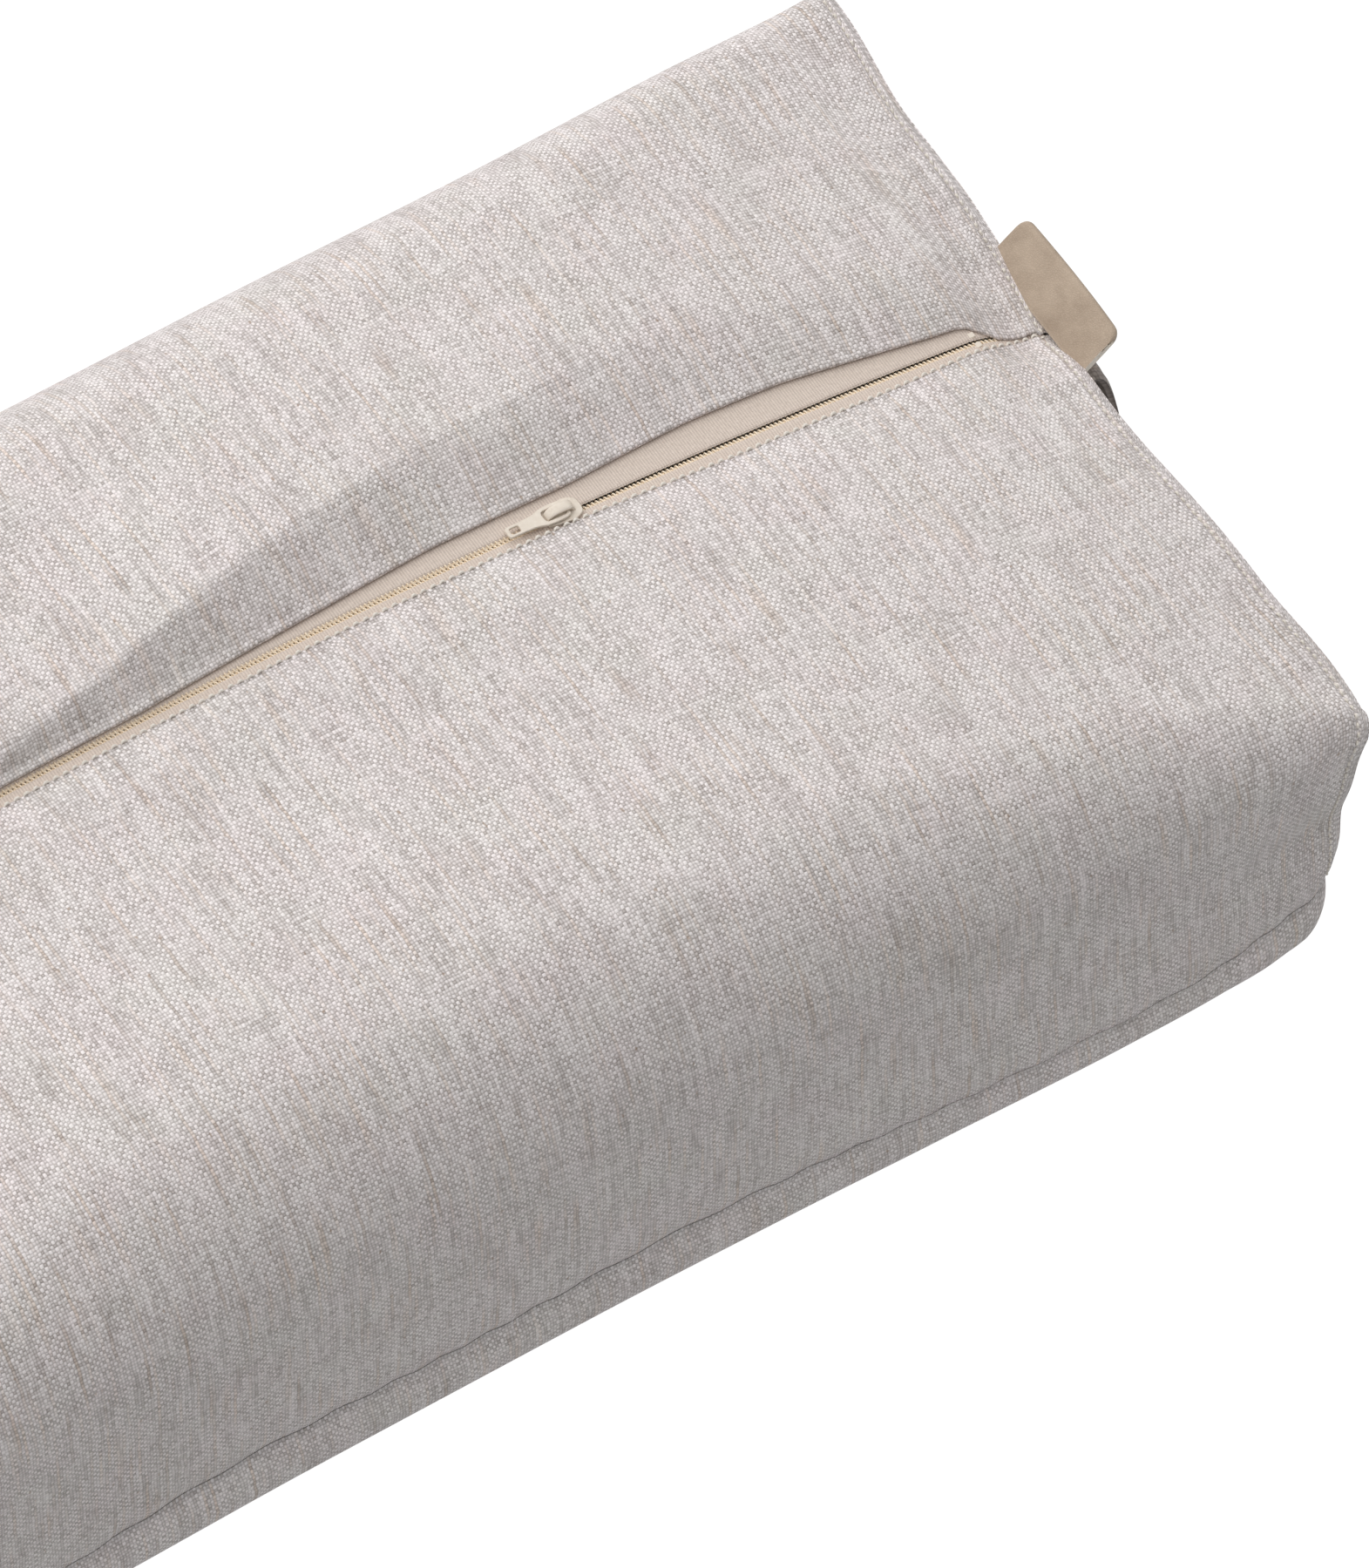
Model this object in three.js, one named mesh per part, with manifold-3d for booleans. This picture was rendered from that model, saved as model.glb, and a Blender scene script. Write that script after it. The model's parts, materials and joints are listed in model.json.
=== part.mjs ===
// Rectangular bolster pillow: linen cover with a coil zipper, leather tab and carry handle,
// over a cotton liner, a wadding sleeve and a foam core.
// Millimetres. +X runs along the length to the handle end, +Y across to the rear long side, +Z up.
// The origin is the centre of the flat base.

import * as THREE from 'three';
import { mergeVertices } from 'three/addons/utils/BufferGeometryUtils.js';
import Module from 'manifold-3d';

// ---------- driving dimensions ----------
const LENGTH = 630;
const HALF_WIDTH = 152;
const SEAM_Z = 18;
const BASE_EDGE_RADIUS = 12;
const GAP = 0.3;

// Heights at the two ends. The stuffing lifts the middle by ARCH_RISE, on a circular arc.
const TAPE_TOP_Z = 114;
const FRONT_CREST_Z = TAPE_TOP_Z + 4;
const REAR_CREST_Z = TAPE_TOP_Z + 10;
const ARCH_RISE = 34;
const LIFT_STARTS_Z = 30;
const LIFT_FULL_Z = 108;

const CLOTH = 1.0;
const END_CLOTH = 1.2;
const END_X = LENGTH / 2;
const PANEL_HALF_LENGTH = END_X - END_CLOTH - GAP;

const ARCH_RADIUS = (END_X ** 2 + ARCH_RISE ** 2) / (2 * ARCH_RISE);
const ARCH_CENTRE_Z = TAPE_TOP_Z + ARCH_RISE - ARCH_RADIUS;
const CHAIN_STEPS = 24;
const PANEL_STEPS = 14;
const FILLING_STEPS = 8;

const ZIP_Y = 18;
const TAPE_THICKNESS = 0.7;
const TAPE_WIDTH = 15;
const CHAIN_HALF_GAP = 0.9;
const COIL_WIDTH = 2.3;
const COIL_HEIGHT = 1.3;
const COIL_HALF_LENGTH = 304;
const TAPE_HALF_LENGTH = 311;
const FRONT_EDGE_OFFSET = 4.8;
const REAR_EDGE_OFFSET = 7;

// The slider and its pull are drawn about the slider's own middle, then set on the arc.
const SLIDER_X = 142.5;
const SLIDER_ANGLE = Math.asin(SLIDER_X / ARCH_RADIUS);
const SLIDER_LENGTH = 12.5;
const SLIDER_NOSE_X = SLIDER_LENGTH / 2;
const SLIDER_HALF_WIDTH = 4.2;
const PLATE = 1.1;
const PULL_PIVOT_X = SLIDER_NOSE_X - 5;
const PULL_END_X = SLIDER_NOSE_X - 25.5;
const PULL_THICKNESS = 1.0;

const TAB_WIDTH = 48;
const TAB_Y = 20;
const TAB_ROOT_Z = TAPE_TOP_Z + 2;
const TAB_LENGTH = 15;
const TAB_TILT = THREE.MathUtils.degToRad(40);
const LEATHER = 1.3;

const HANDLE_WIDTH = 28;
const HANDLE_Y = 10;
const HANDLE_THICKNESS = 2;

const LINER_CLEARANCE = 2.2;
const LINER_CLOTH = 0.8;
const LINER_HALF_LENGTH = 311.5;
const LINER_TOP_UNDER_ZIP = TAPE_TOP_Z - 4.5;
const LINER_HOLLOW_HALF_WIDTH = 19;
const LINER_HOLLOW_SLOPE = 0.5;
const FILLING_SLIT = { halfWidth: 80, z: 60, height: 1.2 };
const LABEL = { y: 60, width: 32, z: 24, height: 54, thickness: 0.4 };
const THREAD = 0.6;

// ---------- materials ----------
function material(color, roughness, metalness = 0) {
  return new THREE.MeshStandardMaterial({ color, roughness, metalness });
}
const linen = () => material(0xcfc9c4, 0.95);
const cotton = () => material(0xe9e5dc, 0.9);
const tapeCloth = () => material(0xc5b5a6, 0.85);
const coilNylon = () => material(0xe2c9a6, 0.5);
const enamel = () => material(0xe2dbd0, 0.35, 0.2);
const leather = () => material(0xb09e88, 0.6);
const thread = () => material(0xeae5dc, 0.8);

// ---------- placing helpers ----------
const model = new THREE.Group();

function add(name, geometry, mat, parent = model) {
  const mesh = new THREE.Mesh(geometry, mat);
  mesh.name = name;
  parent.add(mesh);
  return mesh;
}

const ALONG_X = new THREE.Matrix4().makeBasis(
  new THREE.Vector3(0, 1, 0),
  new THREE.Vector3(0, 0, 1),
  new THREE.Vector3(1, 0, 0),
);
const ALONG_Y = new THREE.Matrix4().makeBasis(
  new THREE.Vector3(1, 0, 0),
  new THREE.Vector3(0, 0, 1),
  new THREE.Vector3(0, -1, 0),
);

// A (y, z) outline swept from x0 to x1 in equal steps.
function sweptAlongX(shape, x0, x1, steps = 1) {
  const options = { depth: x1 - x0, steps, bevelEnabled: false, curveSegments: 6 };
  const geometry = new THREE.ExtrudeGeometry(shape, options);
  geometry.applyMatrix4(ALONG_X);
  return geometry.translate(x0, 0, 0);
}

// Lifts a straight-swept piece on to the arc, in full at the top and not at all near the base.
function arched(geometry) {
  const position = geometry.attributes.position;
  const endDrop = ARCH_RADIUS - ARCH_RISE;
  for (let i = 0; i < position.count; i += 1) {
    const x = position.getX(i);
    const z = position.getZ(i);
    const rise = Math.sqrt(ARCH_RADIUS ** 2 - x ** 2) - endDrop;
    const share = (z - LIFT_STARTS_Z) / (LIFT_FULL_Z - LIFT_STARTS_Z);
    position.setZ(i, z + rise * THREE.MathUtils.clamp(share, 0, 1));
  }
  return geometry;
}

function archedSweep(shape, halfLength, steps) {
  return arched(sweptAlongX(shape, -halfLength, halfLength, steps));
}

// An (x, z) outline swept from y0 to y1.
function sweptAlongY(shape, y0, y1) {
  const geometry = new THREE.ExtrudeGeometry(shape, { depth: y1 - y0, bevelEnabled: false });
  geometry.applyMatrix4(ALONG_Y);
  return geometry.translate(0, y1, 0);
}

// An (x, y) outline raised from z0 to z1.
function raised(shape, z0, z1) {
  const geometry = new THREE.ExtrudeGeometry(shape, { depth: z1 - z0, bevelEnabled: false });
  return geometry.translate(0, 0, z0);
}

function box(x0, x1, y0, y1, z0, z1) {
  const geometry = new THREE.BoxGeometry(x1 - x0, y1 - y0, z1 - z0);
  return geometry.translate((x0 + x1) / 2, (y0 + y1) / 2, (z0 + z1) / 2);
}

// ---------- outline helpers ----------
const at = (a, b) => new THREE.Vector2(a, b);

// Unit normals on the left of an open or closed run of points.
function leftNormals(points, closed) {
  const count = points.length;
  return points.map((point, i) => {
    const before = closed ? points[(i + count - 1) % count] : points[Math.max(i - 1, 0)];
    const after = closed ? points[(i + 1) % count] : points[Math.min(i + 1, count - 1)];
    const along = after.clone().sub(before).normalize();
    return at(-along.y, along.x);
  });
}

function shifted(points, distance, closed = false) {
  const normals = leftNormals(points, closed);
  return points.map((point, i) => point.clone().addScaledVector(normals[i], distance));
}

// The strip between a line shifted left by near and by far.
function strip(points, near, far) {
  return new THREE.Shape([...shifted(points, near), ...shifted(points, far).reverse()]);
}

function rectangle(a0, a1, b0, b1) {
  return new THREE.Shape([at(a0, b0), at(a1, b0), at(a1, b1), at(a0, b1)]);
}

function roundedRectangle(a0, a1, b0, b1, radius) {
  const shape = new THREE.Shape();
  shape.moveTo(a0 + radius, b0);
  shape.lineTo(a1 - radius, b0);
  shape.absarc(a1 - radius, b0 + radius, radius, -Math.PI / 2, 0);
  shape.lineTo(a1, b1 - radius);
  shape.absarc(a1 - radius, b1 - radius, radius, 0, Math.PI / 2);
  shape.lineTo(a0 + radius, b1);
  shape.absarc(a0 + radius, b1 - radius, radius, Math.PI / 2, Math.PI);
  shape.lineTo(a0, b0 + radius);
  shape.absarc(a0 + radius, b0 + radius, radius, Math.PI, Math.PI * 1.5);
  return shape;
}

// ---------- booleans ----------
const wasm = await Module();
wasm.setup();

function solid(geometry) {
  const plain = geometry.clone();
  plain.deleteAttribute('normal');
  plain.deleteAttribute('uv');
  const merged = mergeVertices(plain);
  return new wasm.Manifold(new wasm.Mesh({
    numProp: 3,
    vertProperties: new Float32Array(merged.attributes.position.array),
    triVerts: new Uint32Array(merged.index.array),
  }));
}

function geometryOf(manifold) {
  const mesh = manifold.getMesh();
  const geometry = new THREE.BufferGeometry();
  geometry.setAttribute('position', new THREE.BufferAttribute(mesh.vertProperties, 3));
  geometry.setIndex(new THREE.BufferAttribute(mesh.triVerts, 1));
  geometry.computeVertexNormals();
  return geometry;
}

function joined(first, ...others) {
  return geometryOf(others.reduce((body, geometry) => body.add(solid(geometry)), solid(first)));
}

function cut(first, ...others) {
  return geometryOf(others.reduce((body, geometry) => body.subtract(solid(geometry)), solid(first)));
}

// ---------- cover outlines, seen along the length ----------
const PROFILE_STEPS = 16;

// Outer face of the front panel, from the zipper over the front edge down to the lower seam.
function frontLine() {
  return new THREE.SplineCurve([
    at(ZIP_Y - FRONT_EDGE_OFFSET, TAPE_TOP_Z + 1.6),
    at(ZIP_Y - 24, FRONT_CREST_Z - 0.6),
    at(-52, FRONT_CREST_Z),
    at(-104, FRONT_CREST_Z - 2.5),
    at(-HALF_WIDTH + 18, FRONT_CREST_Z - 10),
    at(-HALF_WIDTH + 3, FRONT_CREST_Z - 29),
    at(-HALF_WIDTH, 62),
    at(-HALF_WIDTH + 2.2, 33),
    at(-HALF_WIDTH + 5.7, SEAM_Z + GAP),
  ]).getSpacedPoints(PROFILE_STEPS);
}

// Outer face of the rear panel, from its folded edge beside the zipper down to the lower seam.
function rearLine() {
  return new THREE.SplineCurve([
    at(ZIP_Y + REAR_EDGE_OFFSET, TAPE_TOP_Z + 2),
    at(ZIP_Y + 15, TAPE_TOP_Z + 8),
    at(ZIP_Y + 28, REAR_CREST_Z - 0.5),
    at(ZIP_Y + 56, REAR_CREST_Z),
    at(108, REAR_CREST_Z - 4),
    at(HALF_WIDTH - 18, REAR_CREST_Z - 14),
    at(HALF_WIDTH - 3, REAR_CREST_Z - 34),
    at(HALF_WIDTH, 60),
    at(HALF_WIDTH - 2.2, 33),
    at(HALF_WIDTH - 5.7, SEAM_Z + GAP),
  ]).getSpacedPoints(PROFILE_STEPS);
}

// Outer face of the base panel, from the front seam across the flat to the rear seam.
function baseLine() {
  const centre = HALF_WIDTH - 5.7 - BASE_EDGE_RADIUS;
  const line = [];
  for (const side of [-1, 1]) {
    for (let step = 0; step <= 6; step += 1) {
      const turn = (Math.PI / 2) * (side < 0 ? 1 - step / 6 : step / 6);
      line.push(at(
        side * (centre + BASE_EDGE_RADIUS * Math.sin(turn)),
        (SEAM_Z - GAP) * (1 - Math.cos(turn)),
      ));
    }
  }
  return line;
}

// The whole outline, anticlockwise seen from the handle end.
function coverOutline() {
  return [...baseLine(), ...rearLine().reverse(), ...frontLine()];
}

// The cover's outline drawn in by a distance and held down under the zipper.
function insideOutline(distance) {
  const held = LINER_TOP_UNDER_ZIP + LINER_CLEARANCE - distance;
  return new THREE.Shape(shifted(coverOutline(), distance, true).map((point) => {
    const beside = Math.max(Math.abs(point.x - ZIP_Y) - LINER_HOLLOW_HALF_WIDTH, 0);
    return at(point.x, Math.min(point.y, held + beside * LINER_HOLLOW_SLOPE));
  }));
}

// ---------- cover ----------
function addCover() {
  const front = strip(frontLine(), 0, CLOTH);
  const rear = strip(rearLine(), 0, -CLOTH);
  const base = strip(baseLine(), 0, CLOTH);
  const end = new THREE.Shape(coverOutline());
  add('cover_front_panel', archedSweep(front, PANEL_HALF_LENGTH, PANEL_STEPS), linen());
  add('cover_rear_panel', archedSweep(rear, PANEL_HALF_LENGTH, PANEL_STEPS), linen());
  add('cover_base_panel', sweptAlongX(base, -PANEL_HALF_LENGTH, PANEL_HALF_LENGTH), linen());
  add('cover_end_panel_right', sweptAlongX(end, END_X - END_CLOTH, END_X), linen());
  add('cover_end_panel_left', sweptAlongX(end, -END_X, -END_X + END_CLOTH), linen());
}

// ---------- zipper ----------
function addChain() {
  const coilTop = TAPE_TOP_Z - TAPE_THICKNESS - GAP;
  for (const [name, side] of [['rear', 1], ['front', -1]]) {
    const inner = ZIP_Y + side * CHAIN_HALF_GAP;
    const tape = rectangle(inner, inner + side * TAPE_WIDTH, TAPE_TOP_Z - TAPE_THICKNESS, TAPE_TOP_Z);
    const coil = rectangle(inner, inner + side * COIL_WIDTH, coilTop - COIL_HEIGHT, coilTop);
    add(`zipper_tape_${name}`, archedSweep(tape, TAPE_HALF_LENGTH, CHAIN_STEPS), tapeCloth());
    add(`zipper_coil_${name}`, archedSweep(coil, COIL_HALF_LENGTH, CHAIN_STEPS), coilNylon());
  }
}

const STOP_X = 286;
const STOP_LENGTH = 2;
const STOP_HEIGHT = 0.9;
const BOTTOM_STOP_HALF_WIDTH = 3;

function addStops() {
  const low = TAPE_TOP_Z + GAP;
  for (const [name, side] of [['rear', 1], ['front', -1]]) {
    const y = ZIP_Y + side * (CHAIN_HALF_GAP + 1.1);
    const stop = roundedRectangle(STOP_X, STOP_X + STOP_LENGTH, y - 1, y + 1, 0.4);
    add(`zipper_top_stop_${name}`,
      arched(raised(stop, low, low + STOP_HEIGHT)), enamel());
  }
  const bottom = roundedRectangle(
    -STOP_X - STOP_LENGTH, -STOP_X,
    ZIP_Y - BOTTOM_STOP_HALF_WIDTH, ZIP_Y + BOTTOM_STOP_HALF_WIDTH, 0.6,
  );
  add('zipper_bottom_stop', arched(raised(bottom, low, low + STOP_HEIGHT)), enamel());
}

// Plan of a slider plate: broad round nose at +X, narrower tail.
function sliderPlan(inset) {
  const nose = SLIDER_NOSE_X - inset;
  const tail = SLIDER_NOSE_X - SLIDER_LENGTH + inset;
  const wide = SLIDER_HALF_WIDTH - inset;
  const narrow = wide - 0.9;
  const shape = new THREE.Shape();
  shape.moveTo(tail + 0.8, -narrow);
  shape.lineTo(nose - 4.5, -wide);
  shape.bezierCurveTo(nose - 1.2, -wide, nose, -wide * 0.6, nose, 0);
  shape.bezierCurveTo(nose, wide * 0.6, nose - 1.2, wide, nose - 4.5, wide);
  shape.lineTo(tail + 0.8, narrow);
  shape.quadraticCurveTo(tail, narrow, tail, narrow - 0.8);
  shape.lineTo(tail, -narrow + 0.8);
  shape.quadraticCurveTo(tail, -narrow, tail + 0.8, -narrow);
  return shape;
}

// Side view of the bridge that holds the pull: a low arch with an eye under it.
function bridgeSide(foot) {
  const shape = new THREE.Shape();
  shape.moveTo(PULL_PIVOT_X - 6.4, foot);
  shape.lineTo(PULL_PIVOT_X + 2.6, foot);
  shape.bezierCurveTo(
    PULL_PIVOT_X + 2.6, foot + 2.2, PULL_PIVOT_X + 1.4, foot + 3,
    PULL_PIVOT_X - 0.4, foot + 3,
  );
  shape.lineTo(PULL_PIVOT_X - 3.6, foot + 2.7);
  shape.bezierCurveTo(
    PULL_PIVOT_X - 5.4, foot + 2.5, PULL_PIVOT_X - 6.4, foot + 1.6,
    PULL_PIVOT_X - 6.4, foot,
  );
  return shape;
}

// Turns with the arc, with the slider's own middle at x = 0 and the tape's top at its true height.
function addOnArc(name, geometry) {
  const holder = new THREE.Group();
  holder.position.set(0, ZIP_Y, ARCH_CENTRE_Z);
  holder.rotation.y = SLIDER_ANGLE;
  add(name, geometry, enamel(), holder).position.z = ARCH_RADIUS - TAPE_TOP_Z;
  model.add(holder);
}

const SLIDER_TOP_Z = TAPE_TOP_Z + GAP + PLATE;
const PULL_PIVOT_Z = SLIDER_TOP_Z + GAP + PULL_THICKNESS / 2;

function addSlider() {
  const coilBottom = TAPE_TOP_Z - TAPE_THICKNESS - GAP - COIL_HEIGHT;
  const floor = coilBottom - GAP - PLATE;
  const topLow = TAPE_TOP_Z + GAP;
  const top = raised(sliderPlan(0), topLow, SLIDER_TOP_Z);
  const bottom = raised(sliderPlan(0.2), floor, floor + PLATE);
  const neck = box(
    SLIDER_NOSE_X - 5.6, SLIDER_NOSE_X - 1, -0.5, 0.5, floor + PLATE / 2, topLow + PLATE / 2,
  );
  const flanges = [-1, 1].map((side) => {
    const edge = side * (CHAIN_HALF_GAP + COIL_WIDTH + 0.3);
    const outer = side * (SLIDER_HALF_WIDTH - 0.3);
    return box(
      SLIDER_NOSE_X - 9, SLIDER_NOSE_X - 4.6,
      Math.min(edge, outer), Math.max(edge, outer),
      floor + PLATE / 2, TAPE_TOP_Z - TAPE_THICKNESS - 0.4,
    );
  });
  const arch = sweptAlongY(bridgeSide(SLIDER_TOP_Z - PLATE / 2), -1.5, 1.5);
  const eye = box(
    PULL_PIVOT_X - 4.4, PULL_PIVOT_X + 1.2, -2, 2,
    SLIDER_TOP_Z, PULL_PIVOT_Z + PULL_THICKNESS / 2 + 0.5,
  );
  const pierced = cut(arch, eye);
  addOnArc('zipper_slider_body', joined(top, bottom, neck, ...flanges, pierced));
}

// Flat pull: a bar with a small window at its free end and a ring around the bridge.
function pullPlan() {
  const end = PULL_END_X;
  const pivot = PULL_PIVOT_X + PULL_THICKNESS / 2;
  const shape = new THREE.Shape();
  shape.moveTo(end + 1.4, -2);
  shape.lineTo(end + 8.5, -2.2);
  shape.bezierCurveTo(end + 10.5, -2.3, end + 11, -3.3, end + 13, -3.3);
  shape.lineTo(pivot - 1, -3.3);
  shape.quadraticCurveTo(pivot, -3.3, pivot, -2.3);
  shape.lineTo(pivot, 2.3);
  shape.quadraticCurveTo(pivot, 3.3, pivot - 1, 3.3);
  shape.lineTo(end + 13, 3.3);
  shape.bezierCurveTo(end + 11, 3.3, end + 10.5, 2.3, end + 8.5, 2.2);
  shape.lineTo(end + 1.4, 2);
  shape.quadraticCurveTo(end, 2, end, 0.8);
  shape.lineTo(end, -0.8);
  shape.quadraticCurveTo(end, -2, end + 1.4, -2);
  shape.holes.push(roundedRectangle(end + 1.2, end + 4.4, -1.1, 1.1, 0.5));
  shape.holes.push(roundedRectangle(end + 12.4, PULL_PIVOT_X - PULL_THICKNESS / 2, -1.95, 1.95, 1.2));
  return shape;
}

function addPull() {
  const low = PULL_PIVOT_Z - PULL_THICKNESS / 2;
  addOnArc('zipper_pull_tab', raised(pullPlan(), low, low + PULL_THICKNESS));
}

// ---------- leather tab at the end seam ----------
// A strip folded into a flat loop: two layers with a thin slot, the fold outermost.
function addLeatherTab() {
  const half = LEATHER + 0.2;
  const shape = new THREE.Shape();
  shape.moveTo(0.6, -half);
  shape.lineTo(TAB_LENGTH - half, -half);
  shape.absarc(TAB_LENGTH - half, 0, half, -Math.PI / 2, Math.PI / 2);
  shape.lineTo(0.6, half);
  shape.lineTo(0.6, 0.2);
  shape.lineTo(TAB_LENGTH - half, 0.2);
  shape.lineTo(TAB_LENGTH - half, -0.2);
  shape.lineTo(0.6, -0.2);
  const holder = new THREE.Group();
  holder.position.set(END_X + 1.6, TAB_Y, TAB_ROOT_Z);
  holder.rotation.y = -TAB_TILT;
  add('leather_tab', sweptAlongY(shape, -TAB_WIDTH / 2, TAB_WIDTH / 2), leather(), holder);
  model.add(holder);
}

// ---------- carry handle on the end panel ----------
function addHandle() {
  const root = END_X + GAP + HANDLE_THICKNESS / 2;
  const line = new THREE.SplineCurve([
    at(root, TAB_ROOT_Z - 8),
    at(root + 7, TAB_ROOT_Z - 9),
    at(root + 13, TAB_ROOT_Z - 22),
    at(root + 15.5, 62),
    at(root + 13, 36),
    at(root + 7, 23),
    at(root, 22),
  ]).getSpacedPoints(30);
  const shape = strip(line, -HANDLE_THICKNESS / 2, HANDLE_THICKNESS / 2);
  add('carry_handle',
    sweptAlongY(shape, HANDLE_Y - HANDLE_WIDTH / 2, HANDLE_Y + HANDLE_WIDTH / 2), linen());
}

// ---------- topstitching, one continuous thread per seam ----------
const STITCH_INSET = 6;
const STITCH_HALF_LENGTH = END_X - STITCH_INSET;

function addStitching() {
  const y = ZIP_Y - FRONT_EDGE_OFFSET - 2.4;
  const z = TAPE_TOP_Z + 2.6;
  const row = rectangle(y - THREAD / 2, y + THREAD / 2, z, z + THREAD);
  add('stitch_zipper_front', archedSweep(row, STITCH_HALF_LENGTH, CHAIN_STEPS), thread());
  for (const [end, side] of [['right', 1], ['left', -1]]) {
    const x = side * (END_X - STITCH_INSET);
    const front = strip(frontLine().slice(1, -1), -GAP - THREAD, -GAP);
    const rear = strip(rearLine().slice(1, -1), GAP, GAP + THREAD);
    add(`stitch_end_${end}_front`,
      arched(sweptAlongX(front, x - THREAD / 2, x + THREAD / 2)), thread());
    add(`stitch_end_${end}_rear`,
      arched(sweptAlongX(rear, x - THREAD / 2, x + THREAD / 2)), thread());
  }
}

// ---------- filling ----------
const CORE_HALF_LENGTH = 306;
const CORE = { y: 126, low: 22, high: 94, radius: 12 };

function addLiner() {
  const inner = LINER_HALF_LENGTH - LINER_CLOTH;
  const outside = archedSweep(insideOutline(LINER_CLEARANCE), LINER_HALF_LENGTH, FILLING_STEPS);
  const inside = archedSweep(insideOutline(LINER_CLEARANCE + LINER_CLOTH), inner, FILLING_STEPS);
  const fillingSlit = box(
    -LINER_HALF_LENGTH - 1, -inner + 1,
    -FILLING_SLIT.halfWidth, FILLING_SLIT.halfWidth,
    FILLING_SLIT.z - FILLING_SLIT.height / 2, FILLING_SLIT.z + FILLING_SLIT.height / 2,
  );
  add('liner_case', cut(outside, inside, fillingSlit), cotton());
}

function addFilling() {
  const wrap = insideOutline(LINER_CLEARANCE + LINER_CLOTH + GAP + 0.1);
  wrap.holes.push(roundedRectangle(-CORE.y, CORE.y, CORE.low, CORE.high, CORE.radius));
  const wadding = archedSweep(wrap, CORE_HALF_LENGTH, FILLING_STEPS);
  add('wadding_wrap', wadding, material(0xf2efe8, 1));
  const core = roundedRectangle(
    -CORE.y + GAP, CORE.y - GAP, CORE.low + GAP, CORE.high - GAP, CORE.radius - GAP,
  );
  add('foam_core', archedSweep(core, CORE_HALF_LENGTH, FILLING_STEPS), material(0xe8dfc4, 1));
}

function addCareLabel() {
  const x = -END_X + END_CLOTH + 2 * GAP;
  const label = box(
    x, x + LABEL.thickness, LABEL.y, LABEL.y + LABEL.width, LABEL.z, LABEL.z + LABEL.height,
  );
  add('care_label', label, material(0xf4f3f0, 0.7));
}

addCover();
addChain();
addStops();
addSlider();
addPull();
addLeatherTab();
addHandle();
addStitching();
addLiner();
addFilling();
addCareLabel();

export default model;
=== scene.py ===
"""Rectangular bolster pillow in slubby linen, with a coil zipper, a leather tab and a carry handle.

Shapes are worked out in millimetres, in the CAD frame, and turned into metres as each mesh is made.
+X runs to the end with the tab, +Y to the rear long side, +Z up. The base rests on z = 0.
"""
import json
import math

import bmesh
import bpy
import numpy as np
from mathutils import Matrix, Vector


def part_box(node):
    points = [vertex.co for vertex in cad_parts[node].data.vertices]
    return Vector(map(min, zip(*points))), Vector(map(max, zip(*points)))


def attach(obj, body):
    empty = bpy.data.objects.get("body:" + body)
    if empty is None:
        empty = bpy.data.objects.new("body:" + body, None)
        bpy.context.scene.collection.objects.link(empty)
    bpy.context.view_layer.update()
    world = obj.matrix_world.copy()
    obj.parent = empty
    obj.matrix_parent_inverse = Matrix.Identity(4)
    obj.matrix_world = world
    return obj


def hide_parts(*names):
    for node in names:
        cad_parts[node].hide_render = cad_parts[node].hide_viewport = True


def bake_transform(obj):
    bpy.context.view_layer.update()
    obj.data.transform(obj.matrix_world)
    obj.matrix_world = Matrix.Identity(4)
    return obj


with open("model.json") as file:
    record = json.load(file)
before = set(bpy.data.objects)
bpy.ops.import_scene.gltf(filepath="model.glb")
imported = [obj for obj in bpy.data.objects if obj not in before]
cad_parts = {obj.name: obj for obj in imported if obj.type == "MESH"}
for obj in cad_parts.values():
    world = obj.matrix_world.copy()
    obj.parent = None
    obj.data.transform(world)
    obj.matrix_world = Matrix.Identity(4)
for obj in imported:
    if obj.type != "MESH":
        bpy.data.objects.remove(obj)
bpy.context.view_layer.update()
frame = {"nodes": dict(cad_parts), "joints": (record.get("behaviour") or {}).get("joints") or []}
MM = 0.001
SEED = 11


def high(node):
    return np.array(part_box(node)[1]) / MM


def low(node):
    return np.array(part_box(node)[0]) / MM


def joint_named(name):
    return next(j for j in frame["joints"] if j["name"] == name)


# ---------- driving dimensions, from the frame ----------
END_X = high("cover_end_panel_right")[0]
HALF_WIDTH = -low("cover_front_panel")[1] + 0.4
ZIP_Y = joint_named("zipper_slide")["pos_m"][1] / MM
ARC_CENTRE_Z = joint_named("zipper_slide")["pos_m"][2] / MM
TAPE_TOP_MID = high("zipper_tape_rear")[2]
ARC_RADIUS = TAPE_TOP_MID - ARC_CENTRE_Z
TAB_PIVOT = np.array(joint_named("leather_tab_flex")["pos_m"]) / MM
PULL_PIVOT = np.array(joint_named("pull_tab_swing")["pos_m"]) / MM

# ---------- the stuffed shape ----------
CLOTH = 0.9
END_TOP_Z = 117.5
FRONT_TOP_Z = 152.0
REAR_TOP_Z = 157.5
FRONT_SHOULDER = (10.0, 62.0, 3.2)
REAR_SHOULDER = (8.0, 57.5, 2.1)
REAR_EAR_LIFT = 3.0
EAR_DROOP = 9.5
EAR_REACH = 5.0
CORNER_ROUND = 14.0
DOG_EAR = 1.5
WAIST = 1.2
LEAN = 8.6
END_INSET = 4.2
TAB_INSET = 1.4
END_BULGE = 6.0
LINER_INSET = 6.0
CHAIN_DIP = 5.0
DIP_STARTS = 284.0
DIP_RUN = 22.0


SLIDER_LENGTH = 12.5
NOSE = SLIDER_LENGTH / 2
PULL_PIVOT_X = NOSE - 5
SLIDER_ANGLE = math.atan2(PULL_PIVOT[0], PULL_PIVOT[2] - ARC_CENTRE_Z) - PULL_PIVOT_X / ARC_RADIUS
SLIDER_X = ARC_RADIUS * math.sin(SLIDER_ANGLE)


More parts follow.
